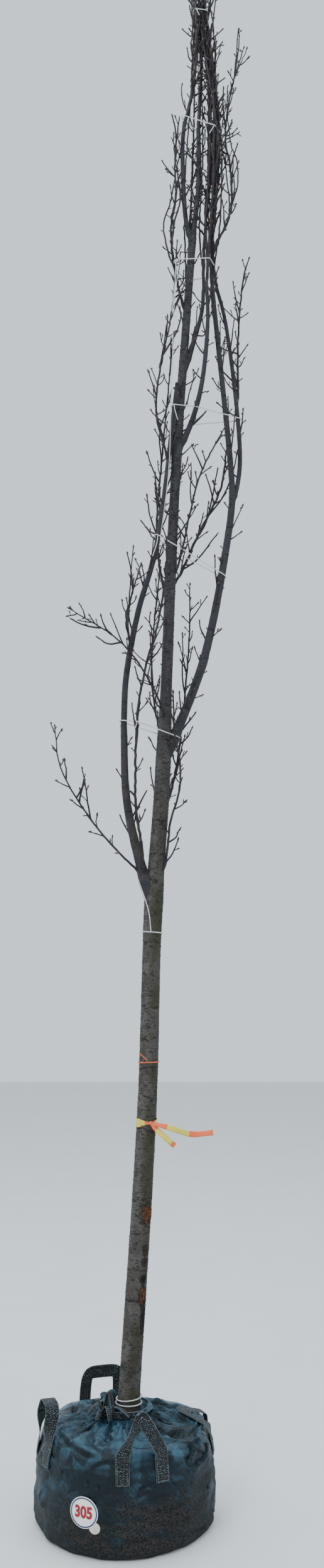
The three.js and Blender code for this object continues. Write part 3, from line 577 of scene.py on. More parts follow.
class Crown:
    """The twigs, spurs and buds of every limb, worked out from its straight twigs."""

    def __init__(self, settings):
        self.settings = settings
        self.chance = random.Random(settings.seed)
        self.stems, self.shoots, self.spurs, self.buds = [], [], [], []
        for name, limb in LIMBS.items():
            self.grow(name, limb)

    def grow(self, name, limb):
        is_mass = "twigs" in limb.row
        if is_mass:
            points, radii = limb.even(16)
            points = kinked(points, limb.radii[-1], self.chance)
            radii[-3:] *= TIP_TAPER
            self.stems.append((points, collared(points, radii, limb)))
            self.tip_buds(points)
            self.line_spurs(points, radii, "stem")
            self.add_companions(limb)
        elif name != "trunk":
            self.line_spurs(*limb.even(20), "bough")
        for twig in TWIGS.get(name, []):
            self.add_twig(limb, twig)
        self.add_whips(limb, is_mass)

    def add_twig(self, limb, twig):
        chance, sway = self.chance, SHOOT["sway"]
        bends = [limb.route.at([twig["share"]])[0], *twig["points"][1:]]
        if len(bends) == 2:
            bends.insert(1, (bends[0] + bends[1]) / 2)
        bends[1] = bends[1] + np.array([chance.gauss(0, sway), chance.gauss(0, sway), SHOOT["sag"]])
        points = kinked(Route(bends).even(SHOOT["step"]), twig["radius"], chance)
        self.add_shoot(points, twig["radius"] * SHOOT["thicker"])

    def add_shoot(self, points, radius):
        tip = max(SHOOT["thinnest"], radius * SHOOT["taper"])
        radii = np.linspace(radius, tip, len(points))
        self.shoots.append((points, radii))
        self.tip_buds(points)
        self.line_spurs(points, radii, "shoot")

    def add_companions(self, limb):
        """Long stems of the tied sheaf that leave their limb early and wind up close round it."""
        chance, table = self.chance, COMPANION
        course = limb.route.even(table["step"])
        top = CAD_BOX[1][2] / MM - table["below_top"]
        count = int(np.interp(course[:, 2].mean(), table["heights"], table["counts"]))
        for _ in range(count):
            first = int(len(course) * chance.uniform(*table["from"]))
            points = course[first:int(len(course) * chance.uniform(*table["to"]))]
            share = np.linspace(0, 1, len(points))[:, None]
            angles = chance.random() * 6.3 + share * chance.uniform(*table["winding"])
            across = np.hstack([np.cos(angles), np.sin(angles), angles * 0])
            off = chance.uniform(*table["off"])
            points = points + across * off * np.minimum(share * table["join"], 1)
            points = kinked(points[points[:, 2] < top], table["kink"], chance)
            if len(points) > table["fewest"]:
                self.add_shoot(points, chance.uniform(*table["radius"]))

    def add_whips(self, limb, is_mass):
        """Long thin shoots that rise beside their limb and stay within its reach."""
        chance, table, on_trunk = self.chance, WHIP, limb.name == "trunk"
        reach = limb.row.get("reach", table["reach"] + limb.radii.mean())
        crowding = np.interp(limb.centres[:, 2].mean(), table["heights"], table["crowding"])
        count = self.settings.whips * limb.route.length / 1000 * crowding
        count = int(count * (1 if is_mass else table["off_mass"]) + 0.5)
        low = table["from_on_trunk" if on_trunk else "from"]
        for i in range(count):
            share = between([low, table["to"]], (i + chance.random()) / count)
            wide = on_trunk or chance.random() < table["wide"]
            kind = LEAVES_WIDE if wide else LEAVES_CLOSE
            leave = chance.uniform(*kind["leave"]) * DEGREE
            aim = leaning(limb.spot(share)[1], chance.random() * tau, leave)
            length = between(kind["length"], chance.random() ** table["power"])
            points = wander(limb.route.at([share])[0], aim, length, chance)
            inside = self.within(points, limb, reach)
            if inside > table["fewest"]:
                self.add_shoot(points[:inside], chance.uniform(*table["radius"]))

    def within(self, points, limb, reach):
        """How many of a shoot's first points are near enough to its limb and inside the box."""
        centres = limb.route.even(20)
        gaps = norm(points[:, None, :] - centres[None], axis=2).min(axis=1)
        low, high = np.array(CAD_BOX) / MM + [[WHIP["inside_box"]], [-WHIP["inside_box"]]]
        good = (gaps < reach) & (points > low).all(axis=1) & (points < high).all(axis=1)
        return len(points) if good.all() else int(np.argmin(good))

    def line_spurs(self, points, radii, kind):
        """Short side spurs, each with a bud, one after the other round a limb or shoot."""
        sparse, bare = SPURS_ON[kind]
        spacing = self.settings.spur_spacing / MM * sparse
        lengths = lengths_along(points)
        place = lengths[-1] * bare + spacing * self.chance.random()
        turn = self.chance.random() * 6
        while place < lengths[-1] - SPUR["clear_tip"]:
            i = min(int(np.searchsorted(lengths, place)), len(points) - 1)
            along = unit(points[i] - points[i - 1])
            share = (place - lengths[i - 1]) / (lengths[i] - lengths[i - 1])
            centre = between([points[i - 1], points[i]], share)
            self.add_spur(centre, along, radii[i], turn)
            turn += TURN + self.chance.gauss(0, SPUR["stray"])
            place += spacing * self.chance.uniform(*SPUR["gap"])

    def add_spur(self, centre, along, radius, turn):
        chance = self.chance
        leave = chance.uniform(*SPUR["leave"]) * DEGREE
        aim = unit(leaning(along, turn, leave) + UP * SPUR["lift"])
        length = self.settings.spur_length / MM * chance.random() ** SPUR["power"]
        foot = centre + aim * radius * 0.6
        if length > SPUR["least"]:
            width = min(chance.uniform(*SPUR["width"]), radius * 0.9)
            length += radius * 0.5
            self.spurs.append((foot, aim, length, width))
            self.add_bud(foot + aim * (length - BUD["sunk"]), aim, 1)
        else:
            self.add_bud(foot, aim, BUD["bare"])

    def tip_buds(self, points):
        """A fat end bud with two smaller ones beside it."""
        tip, along = points[-1], unit(points[-1] - points[-2])
        self.add_bud(tip - along * BUD["sunk"], along, BUD["end"])
        for i, back in enumerate(BUD["back"]):
            aside = sideways_of(along, i * BUD["apart"] + self.chance.random())
            self.add_bud(tip - along * back, unit(along + aside * BUD["out"]), BUD["beside"])

    def add_bud(self, place, aim, size):
        length = self.settings.bud_length / MM * size * self.chance.uniform(*BUD["length"])
        self.buds.append((place, aim, length, length * self.chance.uniform(*BUD["width"])))


def collared(points, radii, limb):
    """Radii that swell where a limb comes out of its parent."""
    parent = LIMBS.get(limb.row.get("parent"))
    if parent is None:
        return radii
    centres, widths = parent.even(8)
    offsets = norm(points[:, None, :] - centres[None], axis=2)
    nearest = offsets.argmin(axis=1)
    gap = offsets[np.arange(len(points)), nearest] - widths[nearest]
    swell = np.exp(-np.abs(gap - radii[0] * COLLAR["at"]) / (radii[0] * COLLAR["wide"]))
    return np.minimum(radii * (1 + COLLAR["swell"] * swell), widths[nearest] * COLLAR["most"])


# Meshes

# Bark on a later line starts this far on for each point before it, in metres, so no two look alike
BARK_SHIFT = 0.013


def adjusted(item, **values):
    """An item with some of its properties set."""
    for key, value in values.items():
        setattr(item, key, value)
    return item


def new_object(name, data):
    item = bpy.data.objects.new(name, data)
    bpy.context.scene.collection.objects.link(item)
    return item


def mesh_of(name, points, faces=(), edges=()):
    """A mesh from points in metres."""
    mesh = bpy.data.meshes.new(name)
    mesh.from_pydata([tuple(p) for p in points], edges, faces)
    mesh.update()
    return mesh


def store(mesh, name, values):
    """Keeps one number or vector for each point of a mesh, under a name that a node can read."""
    values = np.asarray(values, np.float32)
    kind, field = ("FLOAT", "value") if values.ndim == 1 else ("FLOAT_VECTOR", "vector")
    mesh.attributes.new(name, kind, "POINT").data.foreach_set(field, values.ravel())


def polylines(name, lines):
    """One mesh of open lines, from (points in mm, radii in mm), for the limb tree to skin."""
    points, edges, girths, lengths = [], [], [], []
    for line, radii in lines:
        first = len(points)
        points += list(np.asarray(line) * MM)
        edges += [(first + i, first + i + 1) for i in range(len(line) - 1)]
        girths += list(np.asarray(radii) * MM)
        lengths += list(lengths_along(line, MM) + first * BARK_SHIFT)
    mesh = mesh_of(name, points, edges=edges)
    store(mesh, "girth", girths)
    store(mesh, "along", lengths)
    return mesh


def markers(name, rows):
    """One mesh of loose points, from (place, aim, length, width) in mm, for copies to stand on."""
    places, aims, lengths, widths = zip(*rows)
    mesh = mesh_of(name, np.array(places) * MM)
    store(mesh, "aim", aims)
    sizes = [(width * MM, width * MM, length * MM) for length, width in zip(lengths, widths)]
    store(mesh, "size", sizes)
    return mesh


def ring_faces(columns, rows, first=0, closed=False):
    """Faces from each ring of points to the next one, and if closed from the last to the first."""
    faces = []
    for row in range(rows if closed else rows - 1):
        a, b = first + row * columns, first + (row + 1) % rows * columns
        for i in range(columns):
            j = (i + 1) % columns
            faces.append((a + i, a + j, b + j, b + i))
    return faces


def shell_faces(columns, rows):
    """Faces of a closed shell: a first point, rings of points, and a last point."""
    faces = ring_faces(columns, rows, 1)
    last = 1 + rows * columns
    end = last - columns
    for i in range(columns):
        j = (i + 1) % columns
        faces += [(0, 1 + j, 1 + i), (end + i, end + j, last)]
    return faces


def turned_shape(name, profile, sides, lean=0.0):
    """A closed round shape of unit height from (radius, height) rows, leaning a little."""
    points = [(0, 0, profile[0][1])]
    for radius, height in profile:
        for i in range(sides):
            turn = tau * i / sides
            shift = lean * height * (1 - height)
            points.append((radius * cos(turn) + shift, radius * sin(turn), height))
    points.append((0, 0, 1))
    return mesh_of(name, points, shell_faces(sides, len(profile)))


# Geometry Nodes


class Nodes:
    """Short calls that add nodes to a tree and link them."""

    def __init__(self, tree):
        self.tree = tree

    def feed(self, socket, value):
        if isinstance(value, bpy.types.Node):
            value = next(output for output in value.outputs if output.enabled)
        if isinstance(value, bpy.types.NodeSocket):
            self.tree.links.new(value, socket)
        else:
            socket.default_value = value

    def add(self, kind, links=(), **settings):
        node = adjusted(self.tree.nodes.new(kind), **settings)
        for socket, value in dict(links).items():
            self.feed(node.inputs[socket], value)
        return node

    def math(self, operation, *values):
        return self.add("ShaderNodeMath", enumerate(values), operation=operation)

    def vector(self, operation, links):
        return self.add("ShaderNodeVectorMath", links, operation=operation)

    def parts(self, vector):
        return self.add("ShaderNodeSeparateXYZ", {0: vector}).outputs

    def noise(self, place, scale, detail=3.0, roughness=0.55):
        links = {"Vector": place, "Scale": scale, "Detail": detail, "Roughness": roughness}
        return self.add("ShaderNodeTexNoise", links)


class NodeTree(Nodes):
    """A geometry node tree, whose inputs are given by name in one string."""

    KINDS = {"geometry": "Geometry", "material": "Material", "shape": "Object", "sides": "Int",
             "seed": "Int"}

    def __init__(self, name, keys):
        super().__init__(bpy.data.node_groups.new(name, "GeometryNodeTree"))
        shape = self.tree.interface
        shape.new_socket("Geometry", in_out="OUTPUT", socket_type="NodeSocketGeometry")
        for key in keys.split():
            title, kind = key.replace("_", " ").title(), self.KINDS.get(key, "Float")
            shape.new_socket(title, in_out="INPUT", socket_type="NodeSocket" + kind)
        self.inputs = dict(zip(keys.split(), self.add("NodeGroupInput").outputs))

    def named(self, name, kind="FLOAT"):
        return self.add("GeometryNodeInputNamedAttribute", {"Name": name}, data_type=kind)

    def named_vector(self, name):
        return self.named(name, "FLOAT_VECTOR")

    def keep(self, geometry, name, value):
        links = {"Geometry": geometry, "Name": name, "Value": value}
        return self.add("GeometryNodeStoreNamedAttribute", links, data_type="FLOAT_VECTOR")

    def random(self, low, high):
        """A number between two ends, drawn from the tree's seed."""
        links = {2: low, 3: high, "Seed": self.inputs["seed"]}
        return self.add("FunctionNodeRandomValue", links, data_type="FLOAT").outputs[1]

    def copies(self, points, rotation, scale):
        """Finishes the tree with a copy of its shape on each point."""
        shape = self.add("GeometryNodeObjectInfo", {"Object": self.inputs["shape"]})
        links = {"Instance": shape.outputs["Geometry"], "Rotation": rotation, "Scale": scale}
        return self.finish(self.add("GeometryNodeInstanceOnPoints", {"Points": points, **links}))

    def finish(self, geometry):
        real = self.add("GeometryNodeRealizeInstances", {"Geometry": geometry})
        smooth = self.add("GeometryNodeSetShadeSmooth", {"Geometry": real})
        links = {"Geometry": smooth, "Material": self.inputs["material"]}
        self.add("NodeGroupOutput", {0: self.add("GeometryNodeSetMaterial", links)})
        return self.tree


def limb_tree():
    """Skins lines: a ring of points at each step, as wide as the line's girth there, with bark
    ripples. It keeps each point's place on the straightened limb under the name bark."""
    tree = NodeTree("Limb Skin", "geometry sides ripple ripple_scale material")
    curve = tree.add("GeometryNodeMeshToCurve", {"Mesh": tree.inputs["geometry"]})
    links = {"Resolution": tree.inputs["sides"], "Radius": 1.0}
    circle = tree.add("GeometryNodeCurvePrimitiveCircle", links).outputs["Curve"]
    ring = tree.keep(circle, "ring", tree.add("GeometryNodeInputPosition"))
    girth = tree.named("girth")
    links = {"Curve": curve, "Profile Curve": ring, "Scale": girth, "Fill Caps": True}
    skin = tree.add("GeometryNodeCurveToMesh", links)
    x, y, _ = tree.parts(tree.vector("SCALE", {0: tree.named_vector("ring"), "Scale": girth}))
    straight = tree.add("ShaderNodeCombineXYZ", {"X": x, "Y": y, "Z": tree.named("along")})
    kept = tree.keep(skin, "bark", straight)
    grain = tree.noise(tree.named_vector("bark"), tree.inputs["ripple_scale"], 3.0, 0.6)
    height = tree.math("MULTIPLY", tree.math("SUBTRACT", grain, 0.5), tree.inputs["ripple"])
    offset = tree.vector("SCALE", {0: tree.add("GeometryNodeInputNormal"), "Scale": height})
    return tree.finish(tree.add("GeometryNodeSetPosition", {"Geometry": kept, "Offset": offset}))


def sprinkle_tree():
    """Stands a copy of a shape on each point, along its aim and at its size."""
    tree = NodeTree("Sprinkle", "geometry shape seed material")
    aim = {"Vector": tree.named_vector("aim")}
    aimed = tree.add("FunctionNodeAlignRotationToVector", aim, axis="Z")
    spin = {"Axis": (0, 0, 1), "Angle": tree.random(0, tau)}
    turn = tree.add("FunctionNodeAxisAngleToRotation", spin)
    links = {"Rotation": aimed, "Rotate By": turn}
    both = tree.add("FunctionNodeRotateRotation", links, rotation_space="LOCAL")
    return tree.copies(tree.inputs["geometry"], both, tree.named_vector("size"))


# A raised mark's shortest and longest length and its width, by its set size
LENTICEL = {"length": (0.45, 1.5), "width": 0.34}


def surface_tree():
    """Scatters copies of a shape over a surface, each lying along the level line round it."""
    tree = NodeTree("Scatter On Bark", "geometry shape density seed size material")
    inputs = tree.inputs
    links = {"Mesh": inputs["geometry"], "Density": inputs["density"], "Seed": inputs["seed"]}
    points = tree.add("GeometryNodeDistributePointsOnFaces", links).outputs
    level = tree.vector("CROSS_PRODUCT", {0: (0, 0, 1), 1: points["Normal"]})
    links = {"Primary Axis": points["Normal"], "Secondary Axis": level}
    facing = tree.add("FunctionNodeAxesToRotation", links, primary_axis="Z", secondary_axis="X")
    length = tree.math("MULTIPLY", tree.random(*LENTICEL["length"]), inputs["size"])
    width = tree.math("MULTIPLY", inputs["size"], LENTICEL["width"])
    scale = tree.add("ShaderNodeCombineXYZ", {"X": length, "Y": width, "Z": width})
    return tree.copies(points["Points"], facing, scale)


def grown(name, mesh, group, **values):
    """A plain mesh object from a geometry node tree and the values of its inputs."""
    item = new_object(name, mesh)
    modifier = item.modifiers.new("Grow", "NODES")
    modifier.node_group = group
    for socket in group.interface.items_tree:
        key = socket.name.replace(" ", "_").lower()
        if socket.in_out == "INPUT" and key in values:
            modifier[socket.identifier] = values[key]
    depsgraph = bpy.context.evaluated_depsgraph_get()
    result = bpy.data.meshes.new_from_object(
        item.evaluated_get(depsgraph), preserve_all_data_layers=True, depsgraph=depsgraph
    )
    item.modifiers.clear()
    item.data = result
    bpy.data.meshes.remove(mesh)
    return item


def copied(name, mesh, shape_mesh, group, **values):
    """A piece made of copies of a shape, which is itself kept out of the picture and removed."""
    shape = bpy.data.objects.new(shape_mesh.name, shape_mesh)
    piece = grown(name, mesh, group, shape=shape, **values)
    bpy.data.objects.remove(shape)
    bpy.data.meshes.remove(shape_mesh)
    return piece


def sprinkled(name, rows, profile, sides, lean, seed, material, slot):
    """A piece of copies of a turned shape, one for each (place, aim, length, width) in mm."""
    shape = turned_shape(name + "_shape", profile, sides, lean)
    piece = copied(name, markers(name, rows), shape, sprinkle_tree(), seed=seed, material=material)
    hand_over(piece, slot)


def skinned(name, lines, sides, ripple, ripple_scale, material):
    """A piece of round limbs along lines in mm."""
    return grown(
        name, polylines(name, lines), limb_tree(), sides=sides, ripple=ripple,
        ripple_scale=ripple_scale, material=material,
    )


def hand_over(piece, slot, *nodes):
    """Rides a finished piece on the tree's one body and hides the model's parts that it stands for;
    the slot that it is given is not used.
    """
    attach(piece, BODY)
    if nodes:
        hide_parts(*nodes)
    return piece


# Finishes


class Surface(Nodes):
    """A material: pattern nodes feed its one shader, and plain values sit on the shader."""

    def __init__(self, name, **values):
        material = bpy.data.materials.new(name)
        material.use_nodes = True
        super().__init__(material.node_tree)
        self.material = material
        self.shader = self.tree.nodes["Principled BSDF"]
        for key, value in values.items():
            self.shader.inputs[key.replace("_", " ")].default_value = value

    def here(self):
        return self.add("ShaderNodeTexCoord").outputs["Object"]

    def normal(self):
        return self.add("ShaderNodeNewGeometry").outputs["Normal"]

    def kept(self, name):
        return self.add("ShaderNodeAttribute", attribute_name=name).outputs["Vector"]

    def stretched(self, place, scale):
        return self.add("ShaderNodeMapping", {"Vector": place, "Scale": scale})

    def cells(self, place, scale, feature="F1"):
        links = {"Vector": place, "Scale": scale}
        return self.add("ShaderNodeTexVoronoi", links, feature=feature).outputs["Distance"]

    def band(self, value, low, high, most=1.0):
        """A value eased from 0 where it is low to the most where it is high."""
        links = {"Value": value, "From Min": low, "From Max": high, "To Max": most}
        return self.add("ShaderNodeMapRange", links, interpolation_type="SMOOTHSTEP")

    def chained(self, operation, values):
        total = values[0]
        for value in values[1:]:
            total = self.math(operation, total, value)
        return total

    def times(self, *values):
        return self.chained("MULTIPLY", values)

    def plus(self, *values):
        return self.chained("ADD", values)

    def minus(self, first, second):
        return self.math("SUBTRACT", first, second)

    def apart(self, first, second):
        return self.math("ABSOLUTE", self.minus(first, second))

    def wave(self, value, pitch):
        return self.math("SINE", self.times(value, tau / pitch))

    def blend(self, share, first, second):
        node = self.add("ShaderNodeMix", data_type="RGBA")
        colours = [one if hasattr(one, "bl_idname") else (*one, 1) for one in (first, second)]
        for socket, value in zip((0, 6, 7), (share, *colours)):
            self.feed(node.inputs[socket], value)
        return node.outputs[2]

    def finish(self, colour, height=None, depth=0.001, roughness=None):
        self.feed(self.shader.inputs["Base Color"], colour)
        if roughness is not None:
            self.feed(self.shader.inputs["Roughness"], roughness)
        if height is not None:
            links = {"Height": height, "Distance": depth, "Strength": 1.0}
            self.feed(self.shader.inputs["Normal"], self.add("ShaderNodeBump", links))
        return self.material


def toned(tone, share):
    """A colour made darker or paler by a share."""
    return [part * share for part in tone]


# The damp side of the bark, the heights in metres over which its green film fades and over which
# the trunk takes the boughs' colour, and the pitch of the ring scars
DAMP_SIDE = (0.86, -0.4, 0.1)
FILM_FADES = (3.2, 1.9)
TURNS_TO_LIMB = (2.0, 3.1)
RING_PITCH = 0.11


def bark_finish(name, main, patch, dark, film, high, wounds=()):
    """Bark with broad patches, a film where it faces right, dark streaks and old ring scars."""
    s = Surface(name, Roughness=0.78, Specular_IOR_Level=0.25)
    bark = s.kept("bark")
    colour = s.blend(s.band(s.noise(bark, 24, 4.0), 0.42, 0.62), main, patch)
    side = s.vector("DOT_PRODUCT", {0: s.normal(), 1: DAMP_SIDE}).outputs["Value"]
    mossy = s.times(s.band(side, -0.1, 0.7), s.band(s.noise(bark, 12), 0.38, 0.56))
    level = s.parts(s.here())[2]
    colour = s.blend(s.times(mossy, s.band(level, *FILM_FADES, 0.85)), colour, film)
    colour = s.blend(s.band(level, *TURNS_TO_LIMB, 0.7), colour, high)
    streaks = s.noise(s.stretched(bark, (1, 1, 7)), 95, 4.0)
    colour = s.blend(s.band(streaks, 0.5, 0.66, 0.8), colour, dark)
    speckle = s.noise(bark, 420, 2.0)
    colour = s.blend(s.band(speckle, 0.5, 0.75, 0.35), colour, dark)
    waves = s.plus(s.times(s.parts(bark)[2], pi / RING_PITCH), s.times(s.noise(bark, 7), 3.0))
    scars = s.band(s.math("ABSOLUTE", s.math("SINE", waves)), 0.2, 0.03)
    scars = s.times(scars, s.band(s.noise(bark, 55, 4.0), 0.4, 0.56))
    colour = s.blend(s.times(scars, 0.8), colour, dark)
    height = s.minus(s.plus(s.times(streaks, 1.3), s.times(speckle, 0.5)), s.times(scars, 0.7))
    for x, y, z, radius, tall, core in wounds:
        offset = s.vector("SUBTRACT", {0: s.here(), 1: (x, y, z)})
        scaled = s.stretched(offset, (1 / radius, 1 / radius, 1 / (radius * tall)))
        reach = s.vector("LENGTH", {0: scaled}).outputs["Value"]
        ragged = s.plus(reach, s.times(s.minus(s.noise(bark, 110, 5.0, 0.7), 0.5), 3.4))
        colour = s.blend(s.band(ragged, 1.3, 1.1), colour, toned(dark, 0.5))
        colour = s.blend(s.band(ragged, 0.95, 0.75), colour, core)
        cracks = s.band(s.noise(bark, 170, 4.0), 0.5, 0.58)
        cracks = s.math("MAXIMUM", cracks, s.band(reach, 0.55, 0.25))
        colour = s.blend(s.times(s.band(reach, 1.1, 0.9), cracks), colour, toned(core, 0.35))
    return s.finish(colour, height, 0.0018)


def twig_finish(name, main, patch):
    """Smooth bark with lighter stretches and dark rings."""
    s = Surface(name, Roughness=0.66, Specular_IOR_Level=0.2)
    bark = s.kept("bark")
    colour = s.blend(s.band(s.noise(bark, 30, 4.0), 0.4, 0.65), main, patch)
    rings = s.noise(s.stretched(bark, (1, 1, 5)), 260, 3.0)
    colour = s.blend(s.band(rings, 0.55, 0.75, 0.6), colour, toned(main, 0.35))
    return s.finish(colour, rings, 0.0006)


def bud_finish(name, main, tip):
    """Overlapping scales with redder tips."""
    s = Surface(name, Roughness=0.5, Specular_IOR_Level=0.45)
    scales = s.cells(s.stretched(s.here(), (1, 1, 0.6)), 420)
    colour = s.blend(s.band(scales, 0.2, 0.7), main, tip)
    shade = s.band(s.noise(s.here(), 60), 0.4, 0.65, 0.5)
    return s.finish(s.blend(shade, colour, toned(main, 0.4)), scales, 0.0005)


# The hem's two seams on the top of the bag, as a distance up the cloth from the foot's middle
HEM = {"middle": 0.622, "half": 0.019}
# The pitch of the bag's woven tapes, and the webbing's pitches and half width, in metres
TAPE_PITCH = 0.0034
WEBBING = {"rib": 0.0056, "thread": 0.0066, "slant": 0.9, "half": 0.0225}
STRING_TWIST = 0.014


def bag_finish(main, sheen, mud):
    """Woven plastic: painted sheen on facets that face up, painted shade in creases, thin scuffs,
    and mud low in front.
    """
    s = Surface("Woven Plastic Bag", Specular_IOR_Level=0.26, Specular_Tint=(0.7, 0.9, 1, 1))
    here = s.here()
    x, y, z = s.parts(here)
    u, v, _ = s.parts(s.kept("weave"))
    # The wear attribute holds each point's crease, which sets the painted shade in the creases, and
    # its facet's tone, which sets part of the painted sheen.
    crease, tone, _ = s.parts(s.kept("wear"))
    broad = s.noise(here, 8, 5.0, 0.6)
    # Painted sheen: the share grows where the cloth faces up, higher on the bag, and facet by facet
    # as a painted reflection, broken up by noise; where it is highest the colour is a painted
    # highlight.
    painted_sheen_share = s.plus(s.parts(s.normal())[2], s.times(s.minus(broad, 0.5), 1.5))
    painted_sheen_share = s.plus(painted_sheen_share, s.band(z, 0.17, 0.29, 0.35), s.times(tone, 0.75))
    colour = s.blend(s.band(painted_sheen_share, 0.35, 1.2), main, sheen)
    colour = s.blend(s.band(painted_sheen_share, 1.15, 1.6, 0.8), colour, toned(sheen, 2))
    # Painted shade in the creases.
    colour = s.blend(s.times(crease, 0.9), colour, toned(main, 0.3))
    seam = s.band(s.apart(s.apart(v, HEM["middle"]), HEM["half"]), 0.0026, 0.001)
    seam = s.times(seam, s.band(x, 0.0, 0.05), s.band(y, -0.08, -0.14), 0.8)
    colour = s.blend(seam, colour, toned(main, 0.3))
    skewed = s.add("ShaderNodeCombineXYZ", {0: s.plus(u, s.times(v, 0.8)), 1: s.times(v, 0.1)})
    scratches = s.band(s.apart(s.noise(skewed, 70, 3.0), 0.5), 0.012, 0.0)
    scuffs = s.band(s.noise(s.stretched(here, (1.2, 1.2, 4)), 18, 5.0, 0.7), 0.52, 0.7)
    marks = s.math("MAXIMUM", scratches, s.times(scuffs, 0.6))
    colour = s.blend(s.times(marks, s.band(broad, 0.42, 0.62, 0.5)), colour, toned(sheen, 1.9))
    front = s.band(s.minus(y, s.times(x, 0.55)), 0.0, -0.2)
    patches = s.band(s.noise(s.stretched(here, (1, 1, 2)), 9, 5.0, 0.65), 0.38, 0.54)
    dirt = s.times(s.band(z, 0.22, 0.12), front, patches)
    splash = s.times(s.band(z, 0.1, 0.0), s.band(s.noise(here, 30, 4.0), 0.35, 0.6))
    muddy = s.math("MAXIMUM", dirt, s.times(splash, 0.8))
    grains = s.noise(here, 190, 4.0, 0.75)
    colour = s.blend(s.times(muddy, s.band(grains, 0.4, 0.6, 0.95)), colour, mud)
    tapes = s.times(s.wave(u, TAPE_PITCH), s.wave(v, TAPE_PITCH))
    kinks = s.cells(s.stretched(here, (1, 1, 1.4)), 17, "DISTANCE_TO_EDGE")
    wrinkles = s.noise(s.stretched(here, (1, 1, 1.7)), 44, 5.0, 0.6)
    cloth = s.plus(s.times(tapes, 0.05), s.band(kinks, 0.0, 0.1, 0.2), s.times(wrinkles, 0.7))
    hide = s.cells(s.stretched(here, (1, 1, 0.55)), 85, "DISTANCE_TO_EDGE")
    crust = s.times(muddy, s.band(hide, 0.0, 0.12), 0.4)
    height = s.plus(s.minus(cloth, s.times(seam, 0.5)), crust, s.times(muddy, grains, 0.5))
    rough = s.plus(s.times(muddy, 0.35), s.band(z, 0.3, 0.2, 0.26), 0.24)
    return s.finish(colour, height, 0.0042, rough)


def webbing_finish(main, thread):
    """Herringbone webbing: slanted threads that turn back at each dark rib, with paler edges."""
    s = Surface("Dark Webbing", Roughness=0.72, Sheen_Weight=0.1, Specular_IOR_Level=0.25)
    weave = s.kept("weave")
    u, v, _ = s.parts(weave)
    ribs = s.math("PINGPONG", u, WEBBING["rib"])
    threads = s.wave(s.plus(v, s.times(ribs, WEBBING["slant"])), WEBBING["thread"])
    fleck = s.band(s.noise(weave, 170, 2.0, 0.8), 0.48, 0.57)
    pale = s.times(s.band(threads, 0.15, 0.7), fleck, s.band(ribs, 0.0004, 0.0013))
    edge = s.band(s.apart(u, WEBBING["half"]), 0.0202, 0.0215, 0.55)
    colour = s.blend(s.math("MAXIMUM", pale, edge), main, thread)
    wear = s.band(s.noise(s.here(), 26, 4.0), 0.5, 0.64, 0.6)
    return s.finish(s.blend(wear, colour, toned(main, 0.8)), threads, 0.0009)


def plain_finish(name, main, other, scale, roughness=0.5):
    """Smooth coated film with faint marks, for the round tags and what is printed on them."""
    s = Surface(name, Roughness=roughness, Specular_IOR_Level=0.5)
    marks = s.noise(s.here(), scale, 4.0)
    colour = s.blend(s.band(marks, 0.5, 0.75, 0.8), main, other)
    return s.finish(colour, marks, 0.0003)


def string_finish(name, main, shade):
    """Two-ply string: painted shade in the groove between the plies winds round it with the twist.
    """
    s = Surface(name, Roughness=0.8, Sheen_Weight=0.3)
    x, y, z = s.parts(s.kept("bark"))
    turn = s.plus(s.math("ARCTAN2", y, x), s.times(z, tau / STRING_TWIST))
    plies = s.math("ABSOLUTE", s.math("SINE", turn))
    fuzz = s.noise(s.kept("bark"), 900, 3.0)
    # Painted shade in the groove between the plies.
    colour = s.blend(s.band(plies, 0.5, 0.0, 0.9), main, shade)
    colour = s.blend(s.band(s.noise(s.here(), 30), 0.5, 0.7, 0.4), colour, shade)
    return s.finish(colour, s.plus(plies, s.times(fuzz, 0.4)), 0.0012)


def ribbon_finish(first, second):
    """Plastic marker ribbon, striped across, with creases along it and painted shade on them."""
    s = Surface("Marker Ribbon", Roughness=0.35, Specular_IOR_Level=0.5)
    weave = s.kept("weave")
    colour = s.blend(s.band(s.parts(weave)[2], 0.35, 0.65), first, second)
    creases = s.noise(s.stretched(weave, (6, 1, 1)), 60, 3.0)
    # Painted shade along the creases.
    colour = s.blend(s.band(creases, 0.5, 0.75, 0.3), colour, toned(first, 0.55))
    return s.finish(colour, creases, 0.0008)


# The bagged ball: a round shell, read by azimuth (from the front towards the right) and height

BAG = {"foot": 288, "girth": 300, "girth_height": 130, "shoulder": 270, "shoulder_height": 288}
# The outline, as [radius, height] across the foot and over the top, and the wall's heights
BAG_FOOT = [[0, 0], [150, 0], [266, 0], [282, 2]]
WALL_HEIGHTS = (12, 30, 60, 100, 130, 170, 215, 250, 272)
BAG_TOP = [
    [268, 292], [256, 297], [220, 303], [150, 316], [98, 327], [80, 333], [75, 345], [80, 357],
    [87, 367], [80, 373], [67, 367], [58, 355], [54, 347], [30, 346], [0, 346],
]
# The gathered mouth: how far right it sits, its neck's radius, where the neck starts and is open,
# and the point from which the top's gathers run out
MOUTH = {"right": 11, "radius": 92, "neck": 333, "open": 350}
GATHER = (-30, -34)
# Facets of the cloth: their size in mm, seed, and how far they stand up on the top and the wall
FACETS = ((104, 2, 17, 7), (46, 9, 7, 1.5))
